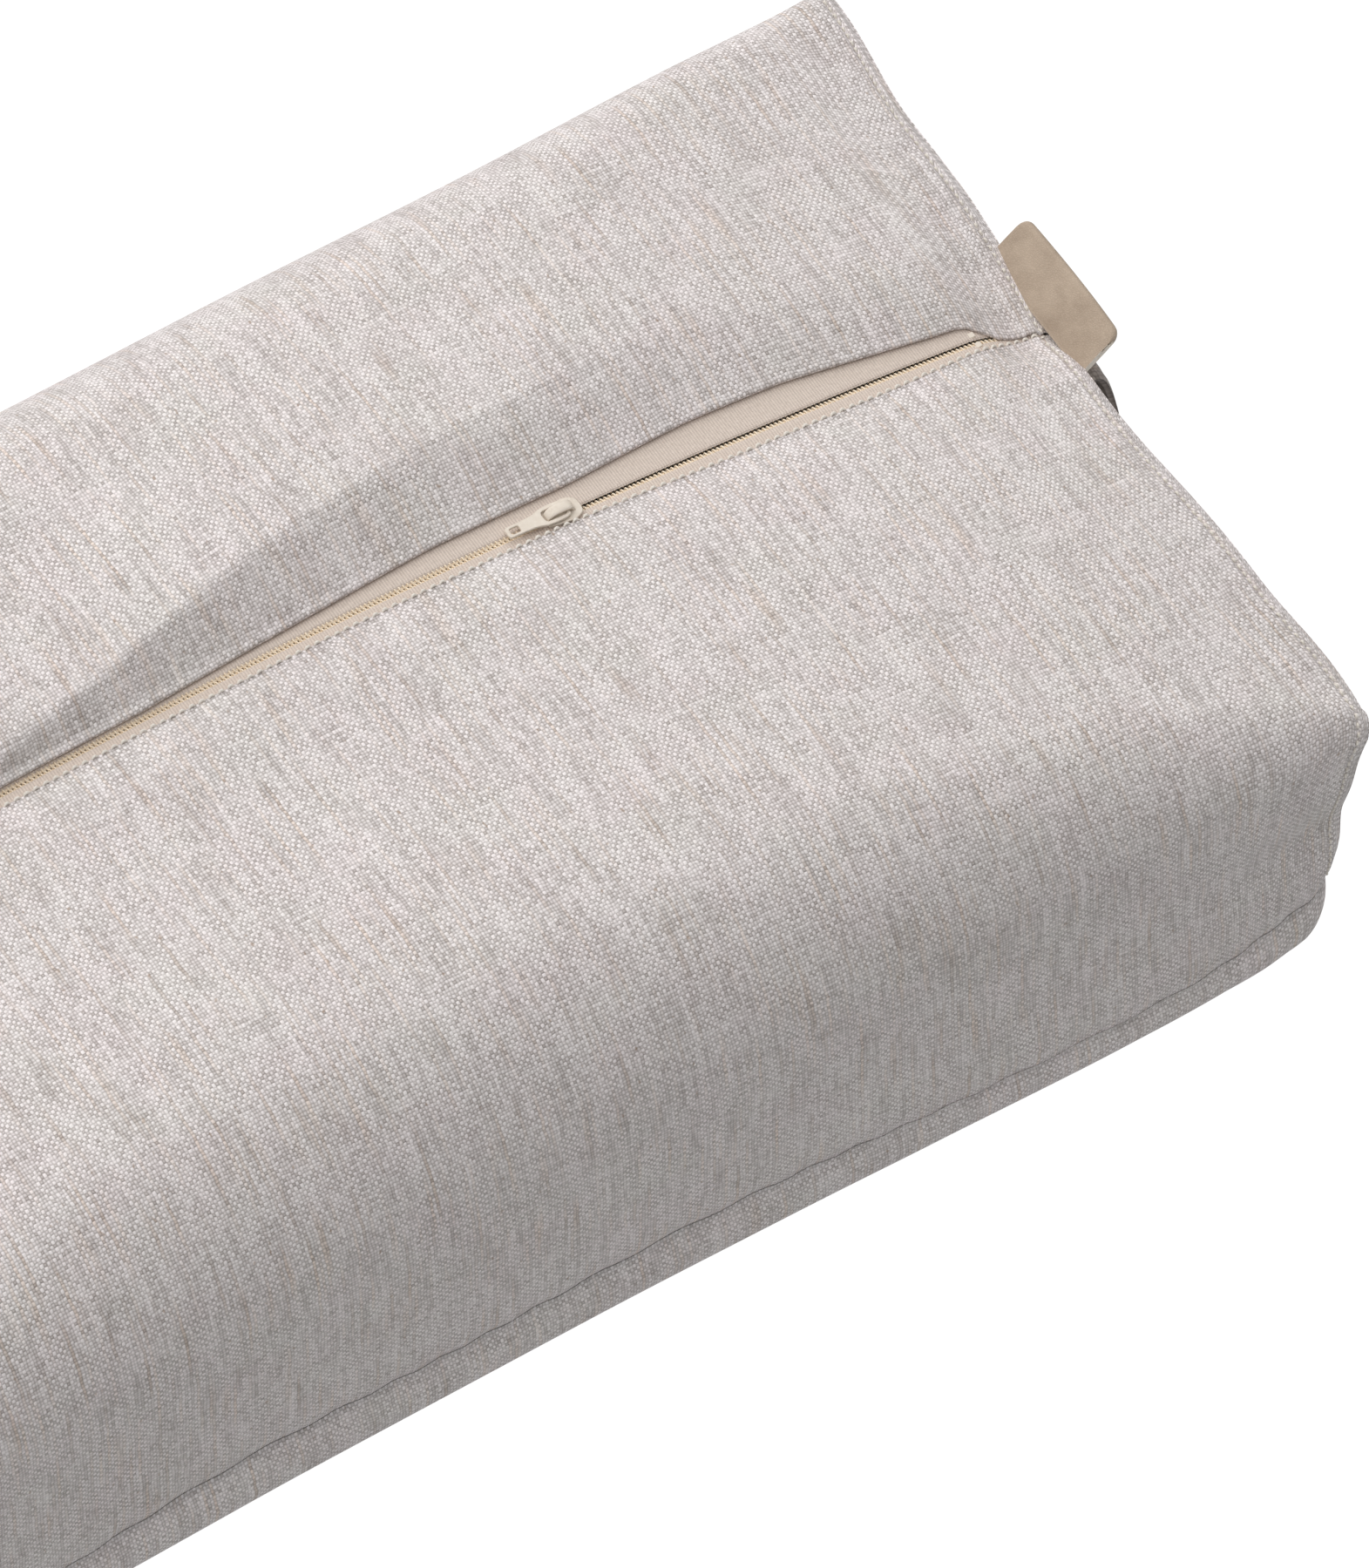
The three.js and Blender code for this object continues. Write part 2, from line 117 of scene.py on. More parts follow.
def smooth(t):
    t = np.clip(t, 0.0, 1.0)
    return t * t * (3.0 - 2.0 * t)


def eased(x, table, spread=12.0):
    """A smooth curve near the (x, value) pairs of a table."""
    xs, values = np.array(table, float).T
    step = 2.0
    grid = np.arange(xs[0] - 60, xs[-1] + 60, step)
    kernel = np.exp(-0.5 * (np.arange(-20, 21) * step / spread) ** 2)
    padded = np.interp(grid, xs, values)
    soft = np.convolve(padded, kernel / kernel.sum(), mode="same")
    return np.interp(x, grid[22:-22], soft[22:-22])


def crown(x, power):
    return 1.0 - (np.minimum(np.abs(x), END_X) / END_X) ** power


def arc_z(x):
    return ARC_CENTRE_Z + np.sqrt(ARC_RADIUS**2 - np.minimum(np.abs(x), END_X) ** 2)


def chain_z(x):
    """Top of the zipper tapes: on the slider's arc, dipping into the cover at each end."""
    return arc_z(x) - CHAIN_DIP * smooth((np.abs(x) - DIP_STARTS) / DIP_RUN)


# Along the length: how far the rear fold's lip lies from the chain, and the bank behind it.
LIP = [(-315, -1.5), (-309, -1), (-301, 4.9), (-284, 5.0), (-200, 5), (-120, 3), (-50, 1.0), (0, 1.2),
       (63, 4.8), (102, 7.4), (148, 7.6), (193, 10.8), (225, 10.5), (257, 7.2), (277, 5.4), (289, 5.0),
       (293, -0.5), (297, -2.8), (315, -3.2)]
BANK_WIDTH = [(-315, 8), (-250, 14), (-150, 12), (-50, 5), (10, 13.5), (48, 20), (93, 22),
              (158, 24), (187, 22), (232, 18), (277, 14), (315, 10)]
BANK_HEIGHT = [(-315, 2), (-250, 6), (-150, 8), (-95, 6.6), (-50, 6), (10, 11.5), (48, 12.8), (93, 12.0),
               (158, 10.8), (187, 9.2), (232, 7.6), (277, 5.5), (300, 3.5), (315, 1.5)]
CREST_SOFTNESS = [(-315, 6), (-150, 4), (0, 1.2), (60, 2.0), (110, 3.5), (158, 6), (315, 8)]
FRONT_LIP = [(-315, 5.1), (-150, 5.0), (0, 4.6), (150, 4.6), (193, 6.6), (257, 6.4), (287, 4.7), (296, 4.2), (315, 4.2)]
LOWER_SEAM = [(-315, 28), (-296, 22), (-262, 17), (-170, 21), (-60, 24), (60, 24), (130, 23),
              (200, 20), (262, 16.5), (296, 22), (315, 29)]


FLARE = [(-315, 1.5), (-268, 2.6), (-234, 3.6), (-167, 2.4), (-134, 1.4), (-60, 0.3), (60, 0.3),
         (134, 1.4), (167, 2.4), (234, 3.6), (268, 2.8), (315, 1.5)]


def half_width(x):
    return HALF_WIDTH - WAIST * crown(x, 2.5) + DOG_EAR * (1 - crown(x, 30))


def shoulder(x, radii):
    at_end, at_middle, power = radii
    return at_end + (at_middle - at_end) * crown(x, power)


def limited(tangent, reach):
    """The tangent, shortened to the reach so that a short span does not overshoot."""
    return tangent * min(1.0, reach / max(np.linalg.norm(tangent), 1e-9))


def spline(points, per=10):
    """Catmull-Rom curve through the points, with its tangents limited on short spans."""
    p = np.asarray(points, float)
    p = np.vstack([2 * p[0] - p[1], p, 2 * p[-1] - p[-2]])
    t = np.linspace(0, 1, per, endpoint=False)[:, None]
    runs = []
    for a, b, c, d in zip(p[:-3], p[1:-2], p[2:-1], p[3:]):
        reach = 1.7 * np.linalg.norm(c - b)
        m, n = limited((c - a) / 2, reach), limited((d - b) / 2, reach)
        runs.append(b + m * t + (3 * (c - b) - 2 * m - n) * t**2 + (2 * (b - c) + m + n) * t**3)
    return np.vstack([*runs, p[-2:-1]])


def spaced(line, shares):
    """Points at the given shares of a line's length."""
    run = np.concatenate([[0], np.cumsum(np.linalg.norm(np.diff(line, axis=0), axis=1))])
    at = np.asarray(shares) * run[-1]
    return np.stack([np.interp(at, run, line[:, k]) for k in range(line.shape[1])], axis=1)


def side_points(w, radius, top, seam_z, flare):
    """From the top's edge round the shoulder and down the side to the lower seam, for +Y."""
    turn = np.radians([0, 22.5, 45, 67.5, 90])
    arc = np.stack([w - radius + radius * np.sin(turn), top - radius + radius * np.cos(turn)], 1)
    arc[0, 1] -= 0.6
    foot = [[w + 0.2, 0.45 * (top - radius) + 0.55 * seam_z], [w - 0.8 + 0.5 * flare, seam_z + 9],
            [w - 3.4 + flare, seam_z + 0.4]]
    return np.vstack([arc, foot])


def base_flare(x):
    """How much wider the base grows towards the ends."""
    return eased(x, FLARE)


def front_section(x):
    """(y, z) of the front panel from its hem beside the chain down to the lower seam."""
    chain, w, radius = chain_z(x), half_width(x), shoulder(x, FRONT_SHOULDER)
    top = END_TOP_Z + (FRONT_TOP_Z - END_TOP_Z) * crown(x, 2.4)
    droop = EAR_DROOP * (1 - crown(x, 5))
    edge = ZIP_Y - eased(x, FRONT_LIP)
    side = side_points(w, radius, top - droop, eased(x, LOWER_SEAM), base_flare(x)) * [-1, 1]
    hem = [[edge - 6, chain + 0.35], [edge - 0.9, chain + 0.35], [edge, chain + 0.95],
           [edge - 0.8, chain + 1.6], [edge - 2.3, chain + 1.5], [edge - 5, chain + 2.4]]
    rise = top - chain
    crest = [[edge - 16, chain + 0.62 * rise + 1.0], [edge - 34, chain + 0.92 * rise],
             [-52, top], [-0.62 * (w - radius) - 20, top - 0.1 - 0.42 * droop]]
    return np.vstack([hem, crest, side])


def rear_section(x):
    """(y, z) of the rear panel from its folded edge over the bank and down to the lower seam."""
    chain, w, radius = chain_z(x), half_width(x), shoulder(x, REAR_SHOULDER)
    top = END_TOP_Z + REAR_EAR_LIFT + (REAR_TOP_Z - END_TOP_Z - REAR_EAR_LIFT) * crown(x, 2.4)
    lip = ZIP_Y + eased(x, LIP, 2.5)
    width, height, soft = eased(x, BANK_WIDTH), eased(x, BANK_HEIGHT), eased(x, CREST_SOFTNESS)
    fold = [[lip + 5, chain + 0.35], [lip + 0.9, chain + 0.5], [lip, chain + 1.3],
            [lip + 0.8, chain + 2.4], [lip + 2.6, chain + 3.1]]
    share = np.clip(soft / width, 0.05, 0.45)
    crest_y, crest_z = lip + width, chain + 2.5 + height
    bank = [[lip + width * (1 - share), chain + 2.5 + height * (1 - share)],
            [crest_y, crest_z - 0.25 * share * height],
            [crest_y + soft, crest_z + 0.12 * soft]]
    far = crest_y + 26
    level = [[far, 0.5 * (crest_z + top) + 1.0], [far + 22, top]]
    side = side_points(w, radius, top, eased(x, LOWER_SEAM), base_flare(x))
    if side[0, 0] < far + 30:
        side = side[1:]
    return np.vstack([fold, bank, level, side])


def base_section(x):
    """(y, z) of the base panel: up-turned at both lower seams and flat on the floor between."""
    w, seam_z = half_width(x) + base_flare(x), eased(x, LOWER_SEAM)
    turn_up = smooth((abs(x) - (END_X - 34)) / 34)
    lift = 3.0 * turn_up
    tuck = 1.0 * turn_up
    edge = [[w - 3.6, seam_z - 0.4], [w - 0.8 - 0.4 * tuck, 0.70 * seam_z + 0.2 * lift],
            [w - 0.2 - tuck, 0.42 * seam_z + 0.5 * lift], [w - 2.0 - 1.3 * tuck, 0.16 * seam_z + 0.7 * lift],
            [w - 8 - 1.3 * tuck, 0.4 + 0.85 * lift], [w - 19 - tuck, lift]]
    edge = np.array(edge)
    flat = [[-60, lift], [0, lift], [60, lift]]
    return np.vstack([edge * [-1, 1], flat, edge[::-1]])


def end_pull(x, y, z):
    """How far the cover's end draws in along X: by the lean, beside the zipper and at dog-ears."""
    near = smooth((np.abs(x) - (END_X - 55)) / 55)
    depth = np.clip(1 - z / END_TOP_Z, 0, 1)
    lean = LEAN * (0.45 * smooth(depth / 0.42) + 0.55 * depth)
    inset = END_INSET * np.exp(-(((y + 30) / 38.0) ** 2)) + TAB_INSET * np.exp(-(((y - 20) / 30.0) ** 2))
    ear = EAR_REACH * smooth((np.abs(y) - 95) / 50) * smooth(1 - depth / 0.25)
    return -np.sign(x) * near * (lean + inset * (1 - depth) - ear)


def corner_round(x, y, z):
    """How far the side draws in along Y where the lower corners are round in plan."""
    e = np.maximum(END_X - np.abs(x), 0)
    reach = np.maximum(CORNER_ROUND - e, 0)
    bite = CORNER_ROUND - np.sqrt(CORNER_ROUND**2 - reach**2)
    return -np.sign(y) * bite * smooth((62 - z) / 62) * smooth((np.abs(y) - 60) / 70)


def seam_roll(x):
    """The top falls to the end seam over the last few millimetres, past the topstitched channel."""
    e = END_X - np.abs(x)
    return -1.7 * np.exp(-((e / 2.6) ** 2)) - 1.1 * np.exp(-(((e - 4.2) / 0.8) ** 2))


def undulation(x, y, z, rng_seed):
    """Soft unevenness of the stuffing."""
    rng = np.random.default_rng(rng_seed)
    total = np.zeros_like(x)
    for _ in range(9):
        kx, ky, kz = rng.normal(0, 1, 3) * [0.020, 0.026, 0.030]
        total += np.sin(kx * x + ky * y + kz * z + rng.uniform(0, 2 * math.pi))
    return total / 3.0


# ---------- grids ----------
def along_grid(fine=0.5, coarse=4.0, fine_run=10.0):
    inner = np.arange(0, END_X - fine_run, coarse)
    outer = np.arange(END_X - fine_run, END_X + 0.01, fine)
    half = np.concatenate([inner, outer])
    return np.concatenate([-half[:0:-1], half])


def normals_of(grid):
    du = np.gradient(grid, axis=0)
    dv = np.gradient(grid, axis=1)
    n = np.cross(du, dv)
    return n / np.maximum(np.linalg.norm(n, axis=2, keepdims=True), 1e-9)


def panel_grid(section, xs, shares, per=10):
    rows = [spaced(spline(section(x), per), shares) for x in xs]
    yz = np.array(rows)
    x = np.repeat(xs[:, None], len(shares), axis=1)
    return np.dstack([x, yz])


def lengths(grid):
    """Arc-length (u, v) of every grid point, in millimetres."""
    mid = grid.shape[1] // 2
    u = np.concatenate([[0], np.cumsum(np.linalg.norm(np.diff(grid[:, mid], axis=0), axis=1))])
    v = np.concatenate([np.zeros((grid.shape[0], 1)),
                        np.cumsum(np.linalg.norm(np.diff(grid, axis=1), axis=2), axis=1)], axis=1)
    return np.dstack([np.repeat(u[:, None], grid.shape[1], axis=1), v])


# ---------- mesh helpers ----------
def new_mesh(name, points, faces, uv=None, smooth_shaded=True):
    """An object from points in millimetres. uv, in metres, is given per point."""
    mesh = bpy.data.meshes.new(name)
    mesh.from_pydata((np.asarray(points) * MM).tolist(), [], [tuple(f) for f in faces])
    if uv is not None:
        loops = np.zeros(len(mesh.loops), int)
        mesh.loops.foreach_get("vertex_index", loops)
        layer = mesh.uv_layers.new(name="cloth")
        layer.data.foreach_set("uv", (np.asarray(uv)[loops] * MM).ravel())
    if smooth_shaded:
        mesh.shade_smooth()
    mesh.update()
    obj = bpy.data.objects.new(name, mesh)
    bpy.context.scene.collection.objects.link(obj)
    return obj


def grid_faces(rows, cols, offset=0, flip=False, closed=False):
    i, j = np.meshgrid(np.arange(rows - 1), np.arange(cols if closed else cols - 1), indexing="ij")
    k = (j + 1) % cols
    quads = np.stack([i * cols + j, (i + 1) * cols + j, (i + 1) * cols + k, i * cols + k], -1)
    quads = quads.reshape(-1, 4) + offset
    return quads[:, ::-1] if flip else quads


def rim_faces(loop, offset):
    """Quads joining a closed loop of outer indices to the inner ones."""
    after = np.roll(loop, -1)
    return np.stack([loop, after, after + offset, loop + offset], -1)


def shell(name, grid, thickness=CLOTH, outward=1, uv=None):
    """A closed sheet: the grid as its outer face, and its offset as the inner one."""
    rows, cols = grid.shape[:2]
    n = normals_of(grid) * outward
    points = np.vstack([grid.reshape(-1, 3), (grid - n * thickness).reshape(-1, 3)])
    uv = lengths(grid) if uv is None else uv
    uv = np.vstack([uv.reshape(-1, 2)] * 2)
    count = rows * cols
    index = np.arange(count).reshape(rows, cols)
    loop = np.concatenate([index[0], index[1:, -1], index[-1, -2::-1], index[-2:0:-1, 0]])
    outer = grid_faces(rows, cols, flip=outward < 0)
    inner = grid_faces(rows, cols, offset=count, flip=outward > 0)
    rim = rim_faces(loop, count)
    rim = rim if outward < 0 else rim[:, ::-1]
    return new_mesh(name, points, np.vstack([outer, inner, rim]).tolist(), uv)


def face_outward(obj):
    """Turns every face of a closed piece to the outside."""
    work = bmesh.new()
    work.from_mesh(obj.data)
    bmesh.ops.recalc_face_normals(work, faces=work.faces)
    work.to_mesh(obj.data)
    work.free()


def placed(obj, body, material, slot, *nodes):
    obj.data.materials.clear()
    for m in material if isinstance(material, (list, tuple)) else [material]:
        obj.data.materials.append(m)
    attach(obj, body)
    if nodes:
        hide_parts(*nodes)
    return obj


# ---------- material helpers ----------
class Nodes:
    """Short calls for building one material's node tree."""

    def __init__(self, name):
        self.material = bpy.data.materials.new(name)
        self.material.use_nodes = True
        self.tree = self.material.node_tree
        self.tree.nodes.clear()
        self.out = self.tree.nodes.new("ShaderNodeOutputMaterial")
        self.shader = self.tree.nodes.new("ShaderNodeBsdfPrincipled")
        self.tree.links.new(self.shader.outputs[0], self.out.inputs[0])

    def set(self, **values):
        for key, value in values.items():
            self.shader.inputs[key.replace("_", " ")].default_value = value
        return self

    def node(self, kind, **settings):
        n = self.tree.nodes.new("ShaderNode" + kind)
        for key, value in settings.items():
            setattr(n, key, value)
        return n

    def feed(self, socket, value):
        if isinstance(value, bpy.types.NodeSocket):
            self.tree.links.new(value, socket)
        else:
            socket.default_value = value

    def math(self, operation, a, b=0.0, clamp=False):
        n = self.node("Math", operation=operation, use_clamp=clamp)
        self.feed(n.inputs[0], a)
        self.feed(n.inputs[1], b)
        return n.outputs[0]

    def noise(self, vector, scale, detail=2.0, roughness=0.5):
        n = self.node("TexNoise")
        self.feed(n.inputs["Vector"], vector)
        n.inputs["Scale"].default_value = scale
        n.inputs["Detail"].default_value = detail
        n.inputs["Roughness"].default_value = roughness
        return n.outputs["Fac"]

    def spread(self, value, low_in, high_in, low_out=0.0, high_out=1.0):
        n = self.node("MapRange")
        self.feed(n.inputs["Value"], value)
        for key, number in (("From Min", low_in), ("From Max", high_in), ("To Min", low_out), ("To Max", high_out)):
            n.inputs[key].default_value = number
        return n.outputs["Result"]

    def mix(self, factor, a, b, blend="MIX"):
        n = self.node("Mix", data_type="RGBA", blend_type=blend)
        self.feed(n.inputs[0], factor)
        self.feed(n.inputs[6], a)
        self.feed(n.inputs[7], b)
        return n.outputs[2]

    def vector(self, x, y, z=0.0):
        n = self.node("CombineXYZ")
        for socket, value in zip(n.inputs, (x, y, z)):
            self.feed(socket, value)
        return n.outputs[0]

    def bump(self, height, distance, strength=1.0):
        n = self.node("Bump")
        n.inputs["Strength"].default_value = strength
        n.inputs["Distance"].default_value = distance
        self.feed(n.inputs["Height"], height)
        self.feed(self.shader.inputs["Normal"], n.outputs[0])


def srgb(r, g, b):
    """Linear colour from 0 to 255 display values."""
    def linear(c):
        c /= 255.0
        return c / 12.92 if c <= 0.04045 else ((c + 0.055) / 1.055) ** 2.4
    return (linear(r), linear(g), linear(b), 1.0)


def grey(value):
    return (value, value, value, 1.0)


def woven(name, light, dark, pitch=(0.00102, 0.00114), flecks=0.5, depth=0.00022, contrast=0.15):
    """Plain weave on the arc-length UV: two sets of uneven yarns, painted shade where the yarns dip, slubs, flecks and
    mottling.
    """
    m = Nodes(name)
    m.set(Roughness=0.92, Sheen_Weight=0.18, Sheen_Roughness=0.45, Specular_IOR_Level=0.2)
    uv = m.node("UVMap", uv_map="cloth").outputs[0]
    place = m.node("SeparateXYZ")
    m.feed(place.inputs[0], uv)
    u, v = place.outputs[0], place.outputs[1]
    wander_u = m.spread(m.noise(m.vector(u, v, 0.3), 200, 1.0), 0.2, 0.8, -0.30, 0.30)
    wander_v = m.spread(m.noise(m.vector(u, v, 7.7), 200, 1.0), 0.2, 0.8, -0.38, 0.38)
    cu = m.math("ADD", m.math("MULTIPLY", u, 1 / pitch[0]), wander_u)
    cv = m.math("ADD", m.math("MULTIPLY", v, 1 / pitch[1]), wander_v)
    iu, iv = m.math("FLOOR", cu), m.math("FLOOR", cv)
    fu = m.math("SINE", m.math("MULTIPLY", m.math("SUBTRACT", cu, iu), math.pi))
    fv = m.math("SINE", m.math("MULTIPLY", m.math("SUBTRACT", cv, iv), math.pi))
    over = m.math("MODULO", m.math("ABSOLUTE", m.math("ADD", iu, iv)), 2.0)
    over = m.math("GREATER_THAN", over, 0.5)
    along_v = m.math("MULTIPLY", m.math("POWER", fu, 0.6), m.math("ADD", m.math("MULTIPLY", fv, 0.55), 0.45))
    along_u = m.math("MULTIPLY", m.math("POWER", fv, 0.6), m.math("ADD", m.math("MULTIPLY", fu, 0.55), 0.45))
    pick = m.node("Mix", data_type="FLOAT")
    m.feed(pick.inputs[0], over)
    m.feed(pick.inputs[2], along_v)
    m.feed(pick.inputs[3], along_u)
    height = pick.outputs[0]
    slub_v = m.noise(m.vector(m.math("MULTIPLY", iu, 0.71), m.math("MULTIPLY", v, 38), 1.0), 1.0, 1.0)
    slub_u = m.noise(m.vector(m.math("MULTIPLY", u, 30), m.math("MULTIPLY", iv, 0.71), 5.0), 1.0, 1.0)
    tone = m.node("Mix", data_type="FLOAT")
    m.feed(tone.inputs[0], over)
    m.feed(tone.inputs[2], m.spread(slub_v, 0.25, 0.75, -0.32, 0.32))
    m.feed(tone.inputs[3], m.spread(slub_u, 0.25, 0.75, -0.11, 0.11))
    streak = m.spread(m.noise(m.vector(m.math("MULTIPLY", u, 420), m.math("MULTIPLY", v, 34)), 1.0, 2.0),
                      0.56, 0.78, 0.0, 0.20)
    fibre = m.spread(m.noise(uv, 3200, 1.0), 0.2, 0.8, -0.10, 0.10)
    single = m.node("TexWhiteNoise", noise_dimensions="2D")
    m.feed(single.inputs["Vector"], m.vector(iu, iv))
    knot = m.spread(single.outputs["Value"], 0.0, 1.0, -0.15, 0.15)
    checker = m.spread(over, 0.0, 1.0, contrast, -contrast)
    # The yarn height also sets the colour, darker where each yarn dips under its neighbour: painted shade between the
    # yarns.
    shade = m.math("ADD", m.math("ADD", m.math("MULTIPLY", height, 0.50), tone.outputs[0]),
                   m.math("ADD", streak, fibre))
    shade = m.math("ADD", shade, m.math("ADD", checker, knot))
    colour = m.mix(m.math("ADD", shade, 0.37, clamp=True), dark, light)
    mottle = m.noise(uv, 46, 3.0, 0.6)
    colour = m.mix(m.spread(mottle, 0.42, 0.66, 0.0, 0.5), colour,
                   m.mix(1.0, colour, (1.0, 0.955, 0.975, 1.0), "MULTIPLY"))
    mottle_two = m.noise(m.vector(u, v, 3.3), 38, 3.0, 0.6)
    colour = m.mix(m.spread(mottle_two, 0.45, 0.68, 0.0, 0.5), colour,
                   m.mix(1.0, colour, (0.965, 0.985, 0.955, 1.0), "MULTIPLY"))
    tan = m.noise(m.vector(m.math("MULTIPLY", iu, 0.83), m.math("MULTIPLY", v, 24), 9.0), 1.0, 1.0)
    colour = m.mix(m.spread(tan, 0.56, 0.74, 0.0, 0.75), colour,
                   m.mix(1.0, colour, (0.93, 0.84, 0.75, 1.0), "MULTIPLY"))
    fleck = m.noise(m.vector(m.math("MULTIPLY", u, 520), m.math("MULTIPLY", v, 300)), 1.0, 1.0)
    colour = m.mix(m.spread(fleck, 0.72, 0.78, 0.0, flecks), colour, srgb(158, 128, 98))
    m.feed(m.shader.inputs["Base Color"], colour)
    uneven = m.math("ADD", height, m.math("MULTIPLY", tone.outputs[0], 1.2))
    m.bump(uneven, depth, 0.8)
    return m.material


def ribbed_tape():
    m = Nodes("zipper_tape_cloth")
    m.set(Roughness=0.8, Sheen_Weight=0.1, Specular_IOR_Level=0.25)
    uv = m.node("UVMap", uv_map="cloth").outputs[0]
    place = m.node("SeparateXYZ")
    m.feed(place.inputs[0], uv)
    u, v = place.outputs[0], place.outputs[1]
    rib = m.math("SINE", m.math("MULTIPLY", u, 2 * math.pi / 0.0009))
    cross = m.math("SINE", m.math("MULTIPLY", v, 2 * math.pi / 0.0006))
    height = m.math("ADD", m.math("MULTIPLY", rib, 0.5), m.math("MULTIPLY", cross, 0.25))
    tone = m.spread(m.noise(uv, 900, 2.0), 0.3, 0.7, -0.12, 0.12)
    # The rib height also sets the colour, darker in the grooves: painted shade between the ribs.
    shade = m.math("ADD", m.math("ADD", m.math("MULTIPLY", height, 0.35), 0.55), tone, clamp=True)
    m.feed(m.shader.inputs["Base Color"], m.mix(shade, srgb(186, 170, 158), srgb(243, 229, 217)))
    m.bump(height, 0.00012, 0.8)
    return m.material


def smooth_finish(name, light, dark, roughness, noise_scale, bump_distance=0.0, **settings):
    """Enamel, nylon, foam, thread or wadding: one colour that varies softly, with a fine surface."""
    m = Nodes(name)
    m.set(**settings)
    place = m.node("TexCoord").outputs["Object"]
    blotch = m.noise(place, noise_scale, 3.0, 0.6)
    m.feed(m.shader.inputs["Base Color"], m.mix(m.spread(blotch, 0.3, 0.7), dark, light))
    m.feed(m.shader.inputs["Roughness"], m.spread(blotch, 0.3, 0.7, roughness - 0.06, roughness + 0.06))
    if bump_distance:
        m.bump(m.noise(place, noise_scale * 4, 3.0), bump_distance, 0.7)
    return m.material


def leather(name, light, dark):
    m = Nodes(name)
    m.set(Specular_IOR_Level=0.4)
    place = m.node("TexCoord").outputs["Object"]
    grain = m.node("TexVoronoi", feature="DISTANCE_TO_EDGE")
    m.feed(grain.inputs["Vector"], place)
    grain.inputs["Scale"].default_value = 1300
    pore = m.spread(grain.outputs["Distance"], 0.0, 0.25)
    fine = m.noise(place, 2600, 3.0)
    cloud = m.noise(place, 90, 4.0, 0.65)
    shade = m.math("ADD", m.math("MULTIPLY", pore, 0.25), m.spread(cloud, 0.3, 0.7, 0.1, 0.75), clamp=True)
    m.feed(m.shader.inputs["Base Color"], m.mix(shade, dark, light))
    m.feed(m.shader.inputs["Roughness"], m.spread(cloud, 0.3, 0.7, 0.50, 0.66))
    m.bump(m.math("ADD", pore, m.math("MULTIPLY", fine, 0.4)), 0.00010, 0.5)
    return m.material


LINEN = woven("linen_cover", srgb(254, 248, 247), srgb(122, 109, 100))
# The strap linen is a darker copy of the cover linen: painted shade for a strap that hangs in shadow.
SHADED_STRAP_LINEN = woven("linen_strap_painted_shade", srgb(176, 166, 158), srgb(92, 85, 80), flecks=0.2)
CALICO = woven("calico", srgb(240, 234, 222), srgb(190, 182, 168), (0.0008, 0.0008), 0.3, 0.00012, 0.04)
TAPE = ribbed_tape()
NYLON = smooth_finish("nylon_coil", srgb(252, 238, 216), srgb(242, 222, 194), 0.38, 700,
                      Specular_IOR_Level=0.5, Subsurface_Weight=0.0)
ENAMEL = smooth_finish("ivory_enamel", srgb(236, 226, 212), srgb(224, 212, 196), 0.32, 420, 0.000015,
                       Specular_IOR_Level=0.55, Coat_Weight=0.25, Coat_Roughness=0.25)
LEATHER = leather("taupe_leather", srgb(196, 178, 158), srgb(160, 141, 122))
# Pale cut-edge colour, made near white as a painted highlight on edges that lie in shade.
PALE_EDGE_AND_HIGHLIGHT = smooth_finish("leather_cut_edge_painted_highlight", srgb(255, 250, 240), srgb(240, 230, 214), 0.75, 900, 0.00005)
THREAD = smooth_finish("sewing_thread", srgb(246, 241, 232), srgb(222, 214, 202), 0.6, 2500, 0.00003,
                       Sheen_Weight=0.2)
WADDING = smooth_finish("fibre_wadding", srgb(246, 243, 237), srgb(232, 228, 220), 0.92, 160, 0.0006)
FOAM = smooth_finish("open_cell_foam", srgb(238, 226, 190), srgb(222, 208, 168), 0.92, 900, 0.0003)
LABEL = smooth_finish("satin_label", srgb(246, 246, 244), srgb(236, 236, 233), 0.42, 60,
                      Sheen_Weight=0.1)


# ---------- camera, light and floor ----------
AZIMUTH = math.radians(-32.26)
ELEVATION = math.radians(56.6)
LENS = 400.0
SENSOR = 36.0
PHOTO_WIDTH, PHOTO_HEIGHT = 1571, 1800
PIXELS_PER_MM = 3.93
LOOK_AT = np.array([130.9, -67.9, 116.7])


def make_camera():
    back = Vector((math.sin(AZIMUTH) * math.cos(ELEVATION), -math.cos(AZIMUTH) * math.cos(ELEVATION),
                   math.sin(ELEVATION)))
    distance = LENS / SENSOR * PHOTO_HEIGHT / PIXELS_PER_MM * MM
    camera = bpy.data.objects.new("camera", bpy.data.cameras.new("camera"))
    bpy.context.scene.collection.objects.link(camera)
    camera.data.lens = LENS
    camera.data.sensor_width = SENSOR
    camera.data.clip_end = 100
    camera.location = Vector(LOOK_AT * MM) + back * distance
    camera.rotation_mode = "QUATERNION"
    camera.rotation_quaternion = (-back).to_track_quat("-Z", "Y")
    bpy.context.scene.camera = camera


